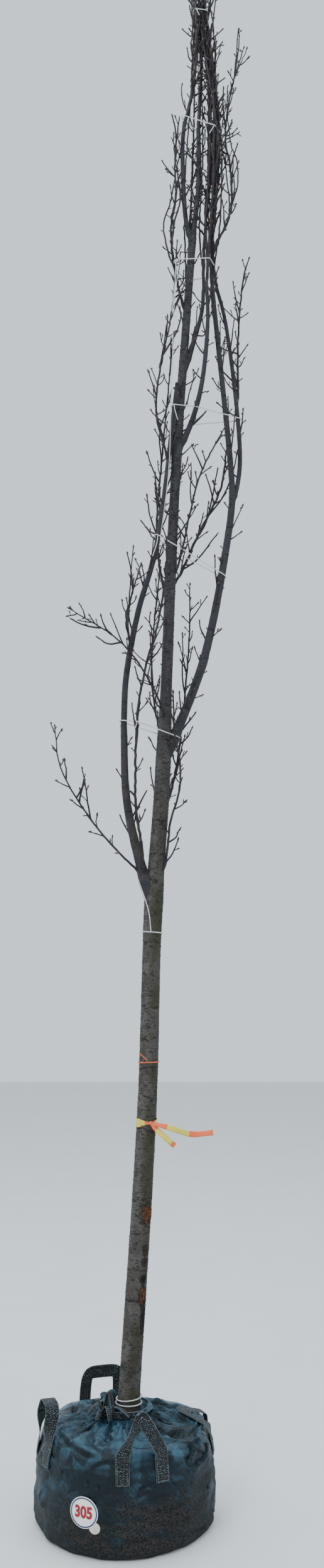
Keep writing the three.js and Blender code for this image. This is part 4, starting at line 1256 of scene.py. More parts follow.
# Folds of the cloth, in mm: how far the lip stands up, how wide it runs out, and points on it
FOLDS = [
    (8, 34, [(196, -128, 304), (232, -70, 302), (244, -6, 300), (230, 70, 300)]),
    (13, 18, [(240, -84, 298), (262, -30, 296), (262, 20, 296), (246, 72, 298)]),
    (5, 26, [(60, -294, 150), (140, -270, 138), (226, -204, 150)]),
    (5, 22, [(90, -288, 112), (170, -250, 96), (236, -188, 108)]),
    (4, 20, [(-40, -300, 92), (40, -300, 66), (120, -276, 78)]),
    (5, 24, [(-20, -298, 196), (-70, -292, 170), (-96, -284, 130)]),
    (11, 22, [(262, -128, 286), (276, -104, 262), (262, -136, 232)]),
    (10, 20, [(236, -176, 280), (258, -150, 262), (272, -118, 240)]),
    (7, 18, [(120, -150, 309), (168, -110, 308), (206, -96, 306)]),
    (8, 46, [(-215, -96, 296), (-168, -190, 298), (-112, -246, 290), (-60, -262, 284)]),
    (5, 34, [(-262, -60, 282), (-232, -150, 270), (-205, -205, 240)]),
    (3.4, 22, [(60, -176, 309), (150, -172, 304), (236, -160, 292)]),
    (3.4, 26, [
        (236, -214, 274), (150, -244, 292), (62, -246, 297), (20, -268, 276), (-10, -285, 236)
    ]),
    (9, 30, [(228, -130, 300), (262, -128, 282), (286, -84, 262)]),
    (9, 26, [(205, -160, 300), (232, -172, 280), (228, -192, 262), (206, -216, 232)]),
    (8, 24, [(284, -92, 246), (258, -148, 232), (214, -212, 226)]),
    (6, 22, [(250, -60, 300), (236, -118, 296), (252, -158, 262)]),
    (12, 30, [(40, 60, 330), (120, 96, 318), (196, 70, 305), (246, 12, 300)]),
    (10, 26, [(60, 20, 334), (128, 30, 322), (200, -12, 308), (240, -50, 302)]),
    (10, 28, [(-110, 10, 326), (-170, -30, 314), (-232, -70, 300)]),
    (9, 30, [(-96, -60, 326), (-140, -110, 316), (-180, -150, 306)]),
    (8, 26, [(-52, -104, 324), (-90, -160, 314), (-100, -214, 305)]),
    (7, 26, [(4, -98, 326), (10, -160, 314), (44, -214, 303)]),
]


def azimuth_point(azimuth, radius, height):
    return np.array([sin(azimuth) * radius, -cos(azimuth) * radius, height])


def wall_radius(height):
    above = height > BAG["girth_height"]
    end = BAG["shoulder"] if above else BAG["foot"]
    far = BAG["shoulder_height"] - BAG["girth_height"] if above else BAG["girth_height"]
    share = min(1, abs(height - BAG["girth_height"]) / far)
    return between([end, BAG["girth"]], sqrt(1 - share * share))


def lobe_at(azimuth):
    return 4 * np.cos(3 * azimuth + 0.6)


def eased_share(value, low, high):
    share = np.clip((value - low) / (high - low), 0, 1)
    return share * share * (3 - 2 * share)


class BagCloth:
    """The bag's shell as a grid of points, [row, column], folded and crumpled."""

    def __init__(self, settings):
        columns = settings.columns
        self.ruff = settings.ruff_rise / MM
        self.azimuths = pi * (1 + 2 * np.arange(columns) / columns)
        wall = [[wall_radius(height), height] for height in WALL_HEIGHTS]
        corners = [(*corner, 0) for corner in [*BAG_FOOT, *wall, *BAG_TOP]]
        outline = Route(corners).even(settings.row / MM)[1:-1]
        self.radii, self.heights = outline[:, :1], outline[:, 1:2]
        self.shape_mouth()
        self.raise_folds()

    def shape_mouth(self):
        """The gathered mouth: low at the front and right, standing up at the left and back."""
        a, r, z = self.azimuths, self.radii, self.heights
        self.rows = np.arange(len(r))[:, None]
        after_top = self.rows > int(np.argmax(z > 300))
        self.wall = (self.rows > int(np.argmax(z > 1))) & (z < 286) & (r > 240)
        self.top = after_top & (r > 86)
        leftness = np.clip(np.cos(a + 70 * DEGREE), 0, 1)
        high = 0.35 + 0.65 * np.clip(np.cos(a + 105 * DEGREE) * 1.3, 0, 1)
        neck = after_top & (z > MOUTH["neck"]) & (r <= MOUTH["radius"])
        throat = eased_share(z, MOUTH["neck"], MOUTH["open"])
        height = np.where(neck, MOUTH["neck"] + (z - MOUTH["neck"]) * high, z)
        inner = self.rows > int(np.argmax(z))
        open_up = np.where(inner, eased_share(r, 54, 64), throat)
        wavy = np.array([noise.noise(Vector((sin(t), cos(t), 0)) * 3.4) for t in a])
        ruff = self.ruff * leftness**2 + 12 * wavy
        rise = np.where(neck, open_up * eased_share(z, 345, 364) * ruff, 0)
        pleats = np.abs(np.sin(a * 9.5 + np.sin(a * 2) * 1.6)) - 0.6
        gather = np.where(neck, pleats * 7 * open_up, 0)
        lobes = np.where(neck, 0, lobe_at(a) * np.minimum(1, r / 250))
        radii = r + lobes + gather
        self.places = np.stack([np.sin(a) * radii, -np.cos(a) * radii, height + rise], axis=2)
        drawn = np.clip((MOUTH["radius"] - r) / 30, 0, 1)
        self.places[:, :, 0] += np.where(after_top, drawn * MOUTH["right"], 0)

    def normals(self):
        down = np.gradient(self.places, axis=0)
        around = np.roll(self.places, -1, axis=1) - np.roll(self.places, 1, axis=1)
        out = np.cross(around, down)
        return out / (norm(out, axis=2)[:, :, None] + 1e-9)

    def raise_folds(self):
        normals = self.normals()
        r = self.radii
        flat = self.places.reshape(-1, 3)
        lift, creases = np.zeros((2, len(flat)))
        for fold in [*FOLDS, *self.small_folds()]:
            rise, crease = self.fold_lift(flat, normals.reshape(-1, 3), fold)
            lift += rise
            creases = np.maximum(creases, crease)
        lift = lift.reshape(self.places.shape[:2])
        # Crease strength, which the finish turns into painted shade in the creases.
        self.creases = creases.reshape(lift.shape)
        self.tones = np.zeros(lift.shape)
        for size, seed, rise, wall_rise in FACETS:
            edges, tones = self.facets(size, seed)
            lift += edges * tones * np.where(self.top, rise, wall_rise)
            sharp = eased_share(-edges, -0.09, 0) * size / np.where(self.top, 150, 450)
            self.creases = np.maximum(self.creases, sharp)
            # Each facet's tone also sets how much painted reflection the finish lays on it.
            self.tones += tones / 2
        near = eased_share(-r, -255, -95)
        around = np.arctan2(self.places[:, :, 0] - GATHER[0], GATHER[1] - self.places[:, :, 1])
        drift = self.noise_at(110, 3) * 2.2
        gathers = np.abs(np.sin(around * 8.5 + drift))
        gathers = gathers + 0.6 * np.abs(np.sin(around * 15.5 - drift * 1.7))
        gathers = (gathers - 0.95) * (4 + 12 * near) * eased_share(r, 84, 104)
        lift += np.where(self.top, gathers, 0)
        lift += self.noise_at(75, 0) * np.where(self.top, 7, 5)
        lift += np.where(self.wall, self.noise_at((70, 70, 16), 4) * 2.6, 0)
        room = 0.2 + 7 * (1 - self.held())
        lift = np.where(self.wall, np.minimum(lift - 1.4, room), lift)
        under = eased_share(self.rows, 50, 66)
        self.places += normals * (lift * under)[:, :, None]

    def held(self):
        """1 where webbing or the tag lies flat on the wall, 0 a little way from it."""
        heights = self.places[:, :, 2]
        held = np.zeros(heights.shape)
        feet = [row["azimuth"] * DEGREE + side * 0.22 for row in HANDLES for side in (1, -1)]
        places = [(foot, 245, 0.09, 50) for foot in feet]
        places.append((TAG["azimuth"] * DEGREE + 0.03, TAG["height"] - 8, 0.18, 64))
        for azimuth, height, half, tall in places:
            gap = np.abs((self.azimuths - azimuth + pi) % tau - pi)
            near = eased_share(-gap, -half - 0.07, -half)
            level = eased_share(-np.abs(heights - height), -tall - 22, -tall)
            held = np.maximum(held, near * level)
        return held

    def noise_at(self, size, seed):
        flat = self.places.reshape(-1, 3) / np.array(size) + seed
        return np.array([noise.noise(place) for place in flat]).reshape(self.places.shape[:2])

    def facets(self, size, seed):
        """Flat facets that meet in straight creases: how far each point is from the nearest
        crease, and its facet's own tilt, which also sets its tone of painted reflection, from -1 to
        1."""
        edges, tones = [], []
        for place in self.places.reshape(-1, 3) / size + seed:
            gaps, middles = noise.voronoi(place)
            edges.append(gaps[1] - gaps[0])
            tones.append(sin(middles[0] @ Vector((91.7, 57.3, 33.9))))
        shape = self.places.shape[:2]
        return np.array(edges).reshape(shape), np.array(tones).reshape(shape)

    def small_folds(self):
        """Short sharp folds: over the top they run from the gather, on the wall across it."""
        chance = random.Random(21)
        folds = []
        for _ in range(46):
            turn = chance.uniform(0, tau)
            start, run = chance.uniform(70, 170), chance.uniform(50, 110)
            bend = chance.gauss(0, 0.35)
            places = []
            for share in (0, 0.5, 1):
                x, y, _ = azimuth_point(turn + bend * share, start + run * share, 0)
                x, y = x + GATHER[0], y + GATHER[1]
                places.append((x, y, 330 - 0.115 * hypot(x, y)))
            folds.append((chance.uniform(3, 8), chance.uniform(12, 30), places))
        for _ in range(44):
            turn, height = chance.uniform(0, tau), chance.uniform(20, 270)
            run, climb = chance.uniform(0.12, 0.4), chance.gauss(0, 40)
            places = []
            for share in (0, 0.5, 1):
                level = max(8, min(278, height + climb * share + 12 * sin(share * 3)))
                places.append(azimuth_point(turn + run * share, wall_radius(level), level))
            folds.append((chance.uniform(2, 5), chance.uniform(10, 26), places))
        return folds

    def fold_lift(self, points, normals, fold):
        lip_rise, run_out, places = fold
        route = Route(places)
        line = route.even(9)
        low, high = line.min(axis=0) - 70, line.max(axis=0) + 70
        near = np.flatnonzero(np.all((points > low) & (points < high), axis=1))
        offsets = points[near, None, :] - line[None]
        distances = norm(offsets, axis=2)
        first = distances.argmin(axis=1)
        along = np.gradient(line, axis=0)[first]
        away = offsets[np.arange(len(near)), first]
        along /= norm(along, axis=1)[:, None]
        away -= along * np.einsum("ij,ij->i", along, away)[:, None]
        side = np.einsum("ij,ij->i", np.cross(along, away), normals[near])
        gap = norm(away, axis=1)
        width = np.where(side > 0, run_out, 4.5)
        ends = np.minimum(first, len(line) - 1 - first) / max(1, len(line) - 1)
        taper = eased_share(ends, -0.02, 0.3)
        beyond = norm(points[near] - line[first], axis=1) - gap
        lift = np.zeros(len(points))
        lip = np.exp(-gap / width) - np.where(side > 0, 0, 0.55 * np.exp(-(((gap - 9) / 7) ** 2)))
        fade = taper * np.exp(-np.maximum(0, beyond) / 12)
        lift[near] = lip_rise * 1.25 * lip * fade
        crease = np.zeros(len(points))
        sharp = np.exp(-(((gap + np.where(side > 0, 4, -4)) / 5) ** 2))
        crease[near] = sharp * fade * min(1, lip_rise / 6)
        return lift, crease


# Pieces


# How far round a cap each of its rings stands, in radians, and how tall the cap is by its radius
CAP_TURNS = (0.45, 0.85, 1.2)
CAP_HEIGHT = 0.7


def trunk_line(settings):
    trunk = LIMBS["trunk"]
    shares = np.linspace(0, 1, int(trunk.route.length / (settings.trunk_step / MM)) + 1)
    points = trunk.route.at(shares)
    swell = [noise.noise(Vector((0, 3, height / 90))) for height in points[:, 2]]
    radii = trunk.radius_at(shares) * (1 + 0.022 * np.array(swell))
    return domed(points, radii, end_only=True)


def domed(points, radii, end_only=False):
    """A line whose ends are drawn in to a round cap."""
    points, radii = list(points), list(radii)
    foot, tip = points[0], points[-1]
    caps = [(len(points), tip, unit(tip - points[-2]), radii[-1])]
    if not end_only:
        caps.append((0, foot, unit(foot - points[1]), radii[0]))
    for first, end, along, radius in caps:
        for i, turn in enumerate(CAP_TURNS):
            place = first + i if first else 0
            points.insert(place, end + along * radius * CAP_HEIGHT * sin(turn))
            radii.insert(place, radius * cos(turn))
    return np.array(points), np.array(radii)


def strap_mesh(name, centres, faces, width, thickness, columns=8, stripes=None):
    """A flat strap along points in mm. Its width, length and stripe are kept under weave."""
    centres = np.array(centres, float)
    along = np.gradient(centres, axis=0)
    along /= norm(along, axis=1)[:, None]
    across = np.cross(along, np.array(faces, float))
    across /= norm(across, axis=1)[:, None]
    out = np.cross(across, along)
    widths = np.broadcast_to(width, len(centres))
    lengths = lengths_along(centres)
    stripes = np.zeros(len(centres)) if stripes is None else stripes
    ring, weave, points = [], [], []
    for side in (1, -1):
        for column in range(columns + 1):
            share = column / columns if side > 0 else 1 - column / columns
            ring.append((share - 0.5, side * (0.5 if 0 < share < 1 else 0.3)))
    for i, centre in enumerate(centres):
        for share, level in ring:
            points.append(centre + across[i] * share * widths[i] + out[i] * level * thickness)
            weave.append(((share + 0.5) * widths[i] * MM, lengths[i] * MM, stripes[i]))
    size, last = len(ring), len(points)
    ends = [tuple(range(size))[::-1], tuple(range(last - size, last))]
    mesh = mesh_of(name, np.array(points) * MM, ring_faces(size, len(centres)) + ends)
    store(mesh, "weave", weave)
    return mesh


def made(name, meshes, material, slot, *nodes):
    """A piece from several meshes, with outward faces, its finish, and what it stands for."""
    shell = bmesh.new()
    for mesh in meshes:
        shell.from_mesh(mesh)
        bpy.data.meshes.remove(mesh)
    bmesh.ops.recalc_face_normals(shell, faces=shell.faces)
    result = bpy.data.meshes.new(name)
    shell.to_mesh(result)
    shell.free()
    result.polygons.foreach_set("use_smooth", [True] * len(result.polygons))
    result.materials.append(material)
    return hand_over(new_object(name, result), slot, *nodes)


def wall_spot(azimuth, height, off):
    """A point a little off the cloth of the wall."""
    radius = wall_radius(height) + lobe_at(azimuth) + off
    return azimuth_point(azimuth, radius, height)


# Settings


def length(name, description, default, low=0.0, high=1.0):
    return bpy.props.FloatProperty(
        name=name, description=description, default=default, min=low, max=high, unit="LENGTH",
        precision=4,
    )


def colour(name, description, default):
    return bpy.props.FloatVectorProperty(
        name=name, description=description, default=default, size=3, min=0, max=1, subtype="COLOR",
    )


class TreeGrowth(bpy.types.PropertyGroup):
    """How fine the limbs are, and how the twigs, spurs and buds grow."""

    seed: bpy.props.IntProperty(name="Seed", description="Another set of fine twigs", default=7)
    trunk_step: length("Trunk Step", "Height of one row of faces on the trunk", 0.004, 0.002)
    limb_step: length("Limb Step", "Length of one row of faces on a bough", 0.007, 0.002)
    bark_ripple: length("Bark Ripple", "Depth of the bark's unevenness", 0.0022)
    whips: bpy.props.FloatProperty(
        name="Shoots", description="Long shoots on a metre of stem", default=6
    )
    spur_spacing: length("Spur Spacing", "From one side spur to the next", 0.052, 0.01)
    spur_length: length("Spur Length", "The longest side spur", 0.024)
    bud_length: length("Bud Length", "A plain side bud", 0.0115)
    lenticels: bpy.props.FloatProperty(
        name="Lenticels", description="Raised marks on a square metre of bark", default=2700
    )
    lenticel_length: length("Lenticel Length", "The length of a raised mark", 0.0095)


class BagShape(bpy.types.PropertyGroup):
    """The bag's cloth and webbing."""

    columns: bpy.props.IntProperty(
        name="Columns", description="Faces round the bag", default=420, min=60
    )
    row: length("Row", "Height of one row of faces", 0.0042, 0.002)
    strap_width: length("Strap Width", "Width of the webbing handles", 0.045)
    strap_thickness: length("Strap Thickness", "Thickness of the webbing", 0.0024)
    ruff_rise: length("Ruff Rise", "How far the gathered mouth stands up on the left", 0.016)


class TreeColours(bpy.types.PropertyGroup):
    """Colours that a user may change."""

    bark: colour("Bark", "Grey-brown bark of the trunk", (0.066, 0.059, 0.053))
    bark_patch: colour("Bark Patch", "Paler patches of the bark", (0.105, 0.098, 0.09))
    bark_dark: colour("Bark Marks", "Dark marks and streaks", (0.011, 0.0095, 0.009))
    film: colour("Green Film", "Algae on the damp side", (0.036, 0.037, 0.016))
    limb: colour("Limb Bark", "Bark of the boughs", (0.034, 0.034, 0.042))
    limb_patch: colour("Limb Patch", "Red-brown patches of the boughs", (0.064, 0.053, 0.055))
    twig: colour("Twig", "Bark of the twigs", (0.02, 0.016, 0.02))
    twig_patch: colour("Twig Patch", "Lighter stretches of the twigs", (0.04, 0.034, 0.037))
    bud: colour("Bud", "Bud scales", (0.022, 0.012, 0.01))
    bud_tip: colour("Bud Tip", "Tips of the bud scales", (0.075, 0.034, 0.022))
    bag: colour("Bag", "Dark woven plastic", (0.0028, 0.0055, 0.0075))
    # Painted sheen and highlights on facets that face up, also the colour of the pale scuffs
    bag_sheen: colour("Bag Sheen", "Painted sheen and highlights, and pale scuffs", (0.02, 0.05, 0.072))
    mud: colour("Mud", "Dried mud on the bag", (0.05, 0.038, 0.032))
    webbing: colour("Webbing", "Dark threads", (0.004, 0.005, 0.0055))
    thread: colour("Thread", "Pale threads and edges", (0.15, 0.21, 0.235))
    tag: colour("Tag", "White of the round tag", (0.8, 0.8, 0.78))
    ring: colour("Ring", "Printed ring", (0.008, 0.022, 0.1))
    number: colour("Number", "Printed number", (0.3, 0.005, 0.012))
    string: colour("String", "White string", (0.72, 0.73, 0.72))
    orange: colour("Orange", "Orange string and ribbon", (0.75, 0.13, 0.035))
    yellow: colour("Yellow", "Yellow of the ribbon", (0.66, 0.56, 0.08))
    floor: colour("Floor", "Pale studio floor", (0.74, 0.75, 0.75))


def growth():
    return bpy.context.scene.tree_growth


def bag_shape():
    return bpy.context.scene.bag_shape


def colours():
    return bpy.context.scene.tree_colours


# Operators


FLOOR_REACH = 20
SKY = {"Color": (0.78, 0.87, 0.95, 1), "Strength": 1.2}
# Area lights: name, place, turn in degrees, size, power and colour
LIGHTS = (
    ("overhead", (-0.6, 0.8, 9.5), (0, 0, 0), 5, 470, (0.86, 0.94, 1)),
    ("key", (-3.2, -5.5, 6.5), (52, 0, -32), 3, 260, (1, 0.97, 0.93)),
    ("fill", (4.5, -4, 3.5), (70, 0, 50), 4, 60, (0.9, 0.95, 1)),
)
CAMERA = {"place": (0.1245, -4.14, 1.70), "looks_up": 10.76, "lens": 25.92, "sensor": 36, "end": 60}


class TREE_OT_stage(bpy.types.Operator):
    """Makes the floor, the lights and the camera"""

    bl_idname = "tree.stage"
    bl_label = "Studio"

    def execute(self, context):
        s = Surface("Pale Floor", Roughness=0.9, Specular_IOR_Level=0.2)
        main = colours().floor
        tone = s.band(s.noise(s.here(), 3), 0.3, 0.7)
        material = s.finish(s.blend(tone, main, toned(main, 0.97)))
        reach = FLOOR_REACH
        corners = [(-reach, -reach, 0), (reach, -reach, 0), (reach, reach, 0), (-reach, reach, 0)]
        floor = new_object("floor", mesh_of("floor", corners, [(0, 1, 2, 3)]))
        floor.data.materials.append(material)
        world = adjusted(bpy.data.worlds.new("Pale Studio"), use_nodes=True)
        for name, value in SKY.items():
            world.node_tree.nodes["Background"].inputs[name].default_value = value
        context.scene.world = world
        for name, place, turn, size, energy, tint in LIGHTS:
            lamp = bpy.data.lights.new(name, "AREA")
            adjusted(lamp, size=size, energy=energy, color=tint)
            self.aim(new_object(name, lamp), place, turn)
        lens = bpy.data.cameras.new("Camera")
        adjusted(lens, lens=CAMERA["lens"], sensor_width=CAMERA["sensor"], clip_end=CAMERA["end"])
        context.scene.camera = new_object("Camera", lens)
        self.aim(context.scene.camera, CAMERA["place"], (90 + CAMERA["looks_up"], 0, 0))
        return {"FINISHED"}

    def aim(self, item, place, turn):
        adjusted(item, location=place, rotation_euler=[angle * DEGREE for angle in turn])


# Wounds on the trunk: height, azimuth in degrees, radius in metres, height to width, and heartwood
RUST = (0.13, 0.047, 0.016)
BROWN = (0.045, 0.028, 0.014)
BLACK = (0.007, 0.005, 0.004)
WOUNDS = [
    (0.966, 40, 0.02, 1.5, RUST), (0.848, 43, 0.012, 1.3, BROWN), (0.812, 42, 0.012, 1.3, BROWN),
    (0.756, 40, 0.011, 1.2, BLACK), (0.7, 42, 0.014, 2.3, RUST), (0.632, 56, 0.011, 3.9, BLACK),
]


def wound_places():
    rows = []
    for height, azimuth, radius, tall, core in WOUNDS:
        centre, _, girth = LIMBS["trunk"].smooth_spot_at_height(height / MM)
        out = azimuth_point(azimuth * DEGREE, girth, 0)
        x, y, z = (centre + out) * MM
        rows.append((x, y, z, radius, tall, core))
    return rows


def opened(piece, wounds):
    """Raises a lip round each wound of the trunk and sinks its middle."""
    places = np.empty(len(piece.data.vertices) * 3, np.float32)
    piece.data.vertices.foreach_get("co", places)
    places = places.reshape(-1, 3).astype(float)
    for x, y, z, radius, tall, _ in wounds:
        centre = LIMBS["trunk"].smooth_spot_at_height(z / MM)[0] * MM
        offset = (places - (x, y, z)) / (radius, radius, radius * tall)
        reach = norm(offset, axis=1)
        lip = np.exp(-(((reach - 1.05) / 0.3) ** 2)) * 0.15
        sunk = np.exp(-((reach / 0.7) ** 2)) * 0.26
        out = places - centre
        out[:, 2] = 0
        out /= norm(out, axis=1)[:, None] + 1e-9
        places += out * ((lip - sunk) * radius)[:, None]
    piece.data.vertices.foreach_set("co", places.ravel())
    piece.data.update()


class TREE_OT_trunk(bpy.types.Operator):
    """Grows the trunk's bark along its line, with its wounds"""

    bl_idname = "tree.trunk"
    bl_label = "Trunk"

    def execute(self, context):
        tones, settings = colours(), growth()
        wounds = wound_places()
        material = bark_finish(
            "Trunk Bark", tones.bark, tones.bark_patch, tones.bark_dark, tones.film, tones.limb,
            wounds,
        )
        line = trunk_line(settings)
        piece = skinned("trunk_bark", [line], 56, settings.bark_ripple, 70.0, material)
        opened(piece, wounds)
        hand_over(piece, "bark", "trunk")
        return {"FINISHED"}


class TREE_OT_boughs(bpy.types.Operator):
    """Grows the boughs and both leaders, each swelling where it leaves its parent"""

    bl_idname = "tree.boughs"
    bl_label = "Boughs"

    def execute(self, context):
        tones, settings = colours(), growth()
        material = bark_finish(
            "Bough Bark", tones.limb, tones.limb_patch, tones.bark_dark, tones.film, tones.limb
        )
        chance = random.Random(settings.seed)
        lines = []
        for row in BOUGHS:
            limb = LIMBS[row["name"]]
            points, radii = limb.even(settings.limb_step / MM)
            knots = [noise.noise(Vector((chance.random(), 5, point[2] / 38))) for point in points]
            radii = collared(points, radii * (1 + 0.05 * np.array(knots)), limb)
            lines.append(domed(points, radii))
        piece = skinned("bough_bark", lines, 20, settings.bark_ripple * 0.8, 90.0, material)
        hand_over(piece, "bark", *[row["name"] for row in BOUGHS])
        return {"FINISHED"}


class TREE_OT_lenticels(bpy.types.Operator):
    """Scatters the raised marks over the trunk's bark"""

    bl_idname = "tree.lenticels"
    bl_label = "Lenticels"

    def execute(self, context):
        s = Surface("Lenticel Cork", Roughness=0.85)
        main = colours().bark_dark
        cork = s.band(s.noise(s.here(), 240), 0.45, 0.7)
        material = s.finish(s.blend(cork, main, toned(main, 2)))
        source = bpy.data.objects["trunk_bark"].data.copy()
        settings = growth()
        piece = copied(
            "lenticels", source, turned_shape("lenticel_shape", LENTICEL_PROFILE, 6),
            surface_tree(), seed=3, density=settings.lenticels,
            size=settings.lenticel_length * 0.5, material=material,
        )
        hand_over(piece, "bark")
        return {"FINISHED"}


# Shapes that are turned round their own axis, as (radius, height) rows
SPUR_PROFILE = [(1.25, 0), (1.0, 0.12), (0.85, 0.55), (1.05, 0.92), (0.6, 1.0)]
BUD_PROFILE = [(0.55, 0), (0.95, 0.22), (1.0, 0.42), (0.72, 0.72), (0.3, 0.93)]
STITCH_PROFILE = [(0.55, 0.03), (1, 0.2), (1.05, 0.5), (1, 0.8), (0.55, 0.97)]
HOLE_PROFILE = [(1.0, 0.0), (1.06, 0.5), (0.92, 1.0), (0.72, 0.7), (0.5, 0.25), (0.2, 0.15)]
KNOT_PROFILE = [(0.5, 0.03), (0.85, 0.2), (1, 0.5), (0.85, 0.8), (0.5, 0.97)]
LENTICEL_PROFILE = [(0.55, -0.2), (1.0, 0.2), (0.7, 0.75)]


class TREE_OT_twigs(bpy.types.Operator):
    """Grows the stems of the masses, their shoots, the spurs and the buds"""

    bl_idname = "tree.twigs"
    bl_label = "Twigs, Spurs and Buds"

    def execute(self, context):
        tones, settings = colours(), growth()
        crown = Crown(settings)
        twig = twig_finish("Twig Bark", tones.twig, tones.twig_patch)
        bud = bud_finish("Bud Scales", tones.bud, tones.bud_tip)
        stems = [domed(*line) for line in crown.stems]
        shoots = [domed(*line, end_only=True) for line in crown.shoots]
        masses = [row["name"] for row in MASSES]
        for name, lines, sides, nodes in (
            ("twig_stems", stems, 8, masses), ("shoots", shoots, 6, []),
        ):
            piece = skinned(name, lines, sides, 0.0008, 160.0, twig)
            hand_over(piece, "twigs", *nodes)
        middle = sorted(row[0][2] for row in crown.buds)[len(crown.buds) // 2]
        low = [row for row in crown.buds if row[0][2] < middle]
        high = [row for row in crown.buds if row[0][2] >= middle]
        sprinkled("spurs", crown.spurs, SPUR_PROFILE, 5, 0.6, 5, twig, "twigs")
        for name, rows in (("buds_low", low), ("buds_high", high)):
            sprinkled(name, rows, BUD_PROFILE, 5, 0.25, 5, bud, "twigs")
        return {"FINISHED"}


class TREE_OT_bag(bpy.types.Operator):
    """Lofts the bag's cloth over the ball, with its folds, gathers and standing mouth"""

    bl_idname = "tree.bag"
    bl_label = "Bag"

    def execute(self, context):
        tones, settings = colours(), bag_shape()
        cloth = BagCloth(settings)
        rows, columns, _ = cloth.places.shape
        above_floor = np.maximum(cloth.places, [-np.inf, -np.inf, 0]).reshape(-1, 3)
        points = [(0, 0, 0), *(above_floor * MM), (MOUTH["right"] * MM, 0, BAG_TOP[-1][1] * MM)]
        mesh = mesh_of("root_bag", points, shell_faces(columns, rows))
        weave = np.zeros((rows, columns, 3))
        weave[:, :, 0] = cloth.azimuths * BAG["girth"] * MM
        weave[:, :, 1] = np.arange(rows)[:, None] * settings.row
        # Under wear: each point's crease, for the painted shade, and its facet's tone, for a
        # painted reflection.
        wear = np.stack([cloth.creases, cloth.tones, cloth.creases], axis=2)
        for name, grid in (("weave", weave), ("wear", wear)):
            store(mesh, name, np.vstack([grid[:1, 0], grid.reshape(-1, 3), grid[-1:, 0]]))
        material = bag_finish(tones.bag, tones.bag_sheen, tones.mud)
        made("root_bag", [mesh], material, "bag", "root_ball_bag")
        return {"FINISHED"}


# Handles: azimuth, lean and twist in degrees, the height where the loop leaves the wall, how
# pointed it is, from 0.3 for a square loop over 1 for a round one to 2 for an arrow's, and how
# far the strap turns to bend over its top like a hoop
HANDLE_KEYS = ("name", "azimuth", "lean", "loop_foot", "pointed", "twist", "hoop")
HANDLES = [dict(zip(HANDLE_KEYS, row)) for row in (
    ("handle_front", 13, 9, 296, 1.75, 62, 0),
    ("handle_right", 97, 72, 296, 1.2, 18, 0),
    ("handle_back", 199, 10, 280, 0.3, 0, 0),
    ("handle_left", -72, 14, 292, 0.55, 0, 1),
)]
LEG = {"half": 66, "foot": 214, "top": 274, "rise": 102, "stand_off": 6}


def handle_route(loop_foot, pointed):
    """[sideways, height, rise above the loop's foot] up one leg, over the loop and down."""
    leg = [(LEG["half"], height, 0) for height in np.linspace(LEG["foot"], LEG["top"], 13)]
    loop = []
    for turn in np.linspace(0, pi, 49):
        aside, up = cos(turn), sin(turn)
        aside = copysign(abs(aside) ** pointed, aside)
        loop.append((LEG["half"] * aside, loop_foot, LEG["rise"] * up**pointed))
    return leg + loop + [(-sideways, height, up) for sideways, height, up in reversed(leg)]


class TREE_OT_handles(bpy.types.Operator):
    """Makes the four webbing handles"""

    bl_idname = "tree.handles"
    bl_label = "Handles"

    def execute(self, context):
        tones, settings = colours(), bag_shape()
        material = webbing_finish(tones.webbing, tones.thread)
        for row in HANDLES:
            width, thickness = settings.strap_width / MM, settings.strap_thickness / MM
            mesh = strap_mesh("strap", *self.frames(row, thickness), width, thickness)
            made(row["name"] + "_webbing", [mesh], material, "webbing", row["name"])
        return {"FINISHED"}

    def frames(self, row, thickness):
        centres, faces = [], []
        azimuth = row["azimuth"] * DEGREE
        for sideways, height, up in handle_route(row["loop_foot"], row["pointed"]):
            turned = azimuth + sideways / BAG["girth"]
            on_leg = height <= LEG["top"]
            off = 0.4 + thickness / 2 + (0 if on_leg else LEG["stand_off"])
            tilt = row["lean"] * DEGREE if up > 0 else 0
            radius = wall_radius(height if on_leg else LEG["top"]) + lobe_at(turned) + off
            radius -= up * sin(tilt)
            centres.append(azimuth_point(turned, radius, height + up * cos(tilt)))
            arm = sin(pi * up / LEG["rise"]) * (1 if sideways < 0 else 0.25)
            twist = row["twist"] * DEGREE * arm
            flat = azimuth_point(turned + twist, cos(tilt), sin(tilt))
            share, rise = sideways / LEG["half"], up / LEG["rise"]
            over = unit(azimuth_point(azimuth + pi / 2, share, rise))
            faces.append(between([flat, over], row["hoop"] * eased_share(up, 2, 60)))
        times = 2 if row["pointed"] < 0.5 else 5
        return self.eased(centres, times), self.eased(faces, times)

    def eased(self, places, times):
        """A row of places with its corners rounded, its ends kept."""
        places = np.array(places)
        for _ in range(times):
            middle = (places[:-2] + 2 * places[1:-1] + places[2:]) / 4
            places[11:-11] = middle[10:-10]
        return places


# A stitch's length, radius and distance off the wall
STITCH = (4.6, 0.75, 3.1)
# Drain holes of the bag: azimuth in degrees and height in mm, then depth and radius, and tones
DRAIN_HOLES = [
    (-22, 212), (-15, 206), (29, 224), (41, 142), (32, 128), (-24, 26), (-13, 20), (-16, 116),
    (-42, 226), (68, 140), (104, 60), (138, 190), (166, 118), (-158, 150), (-126, 70), (-96, 180),
]
HOLE_SIZE = (2.0, 5.2)
HOLE_TONES = ((0.004, 0.005, 0.006), (0.012, 0.014, 0.016))


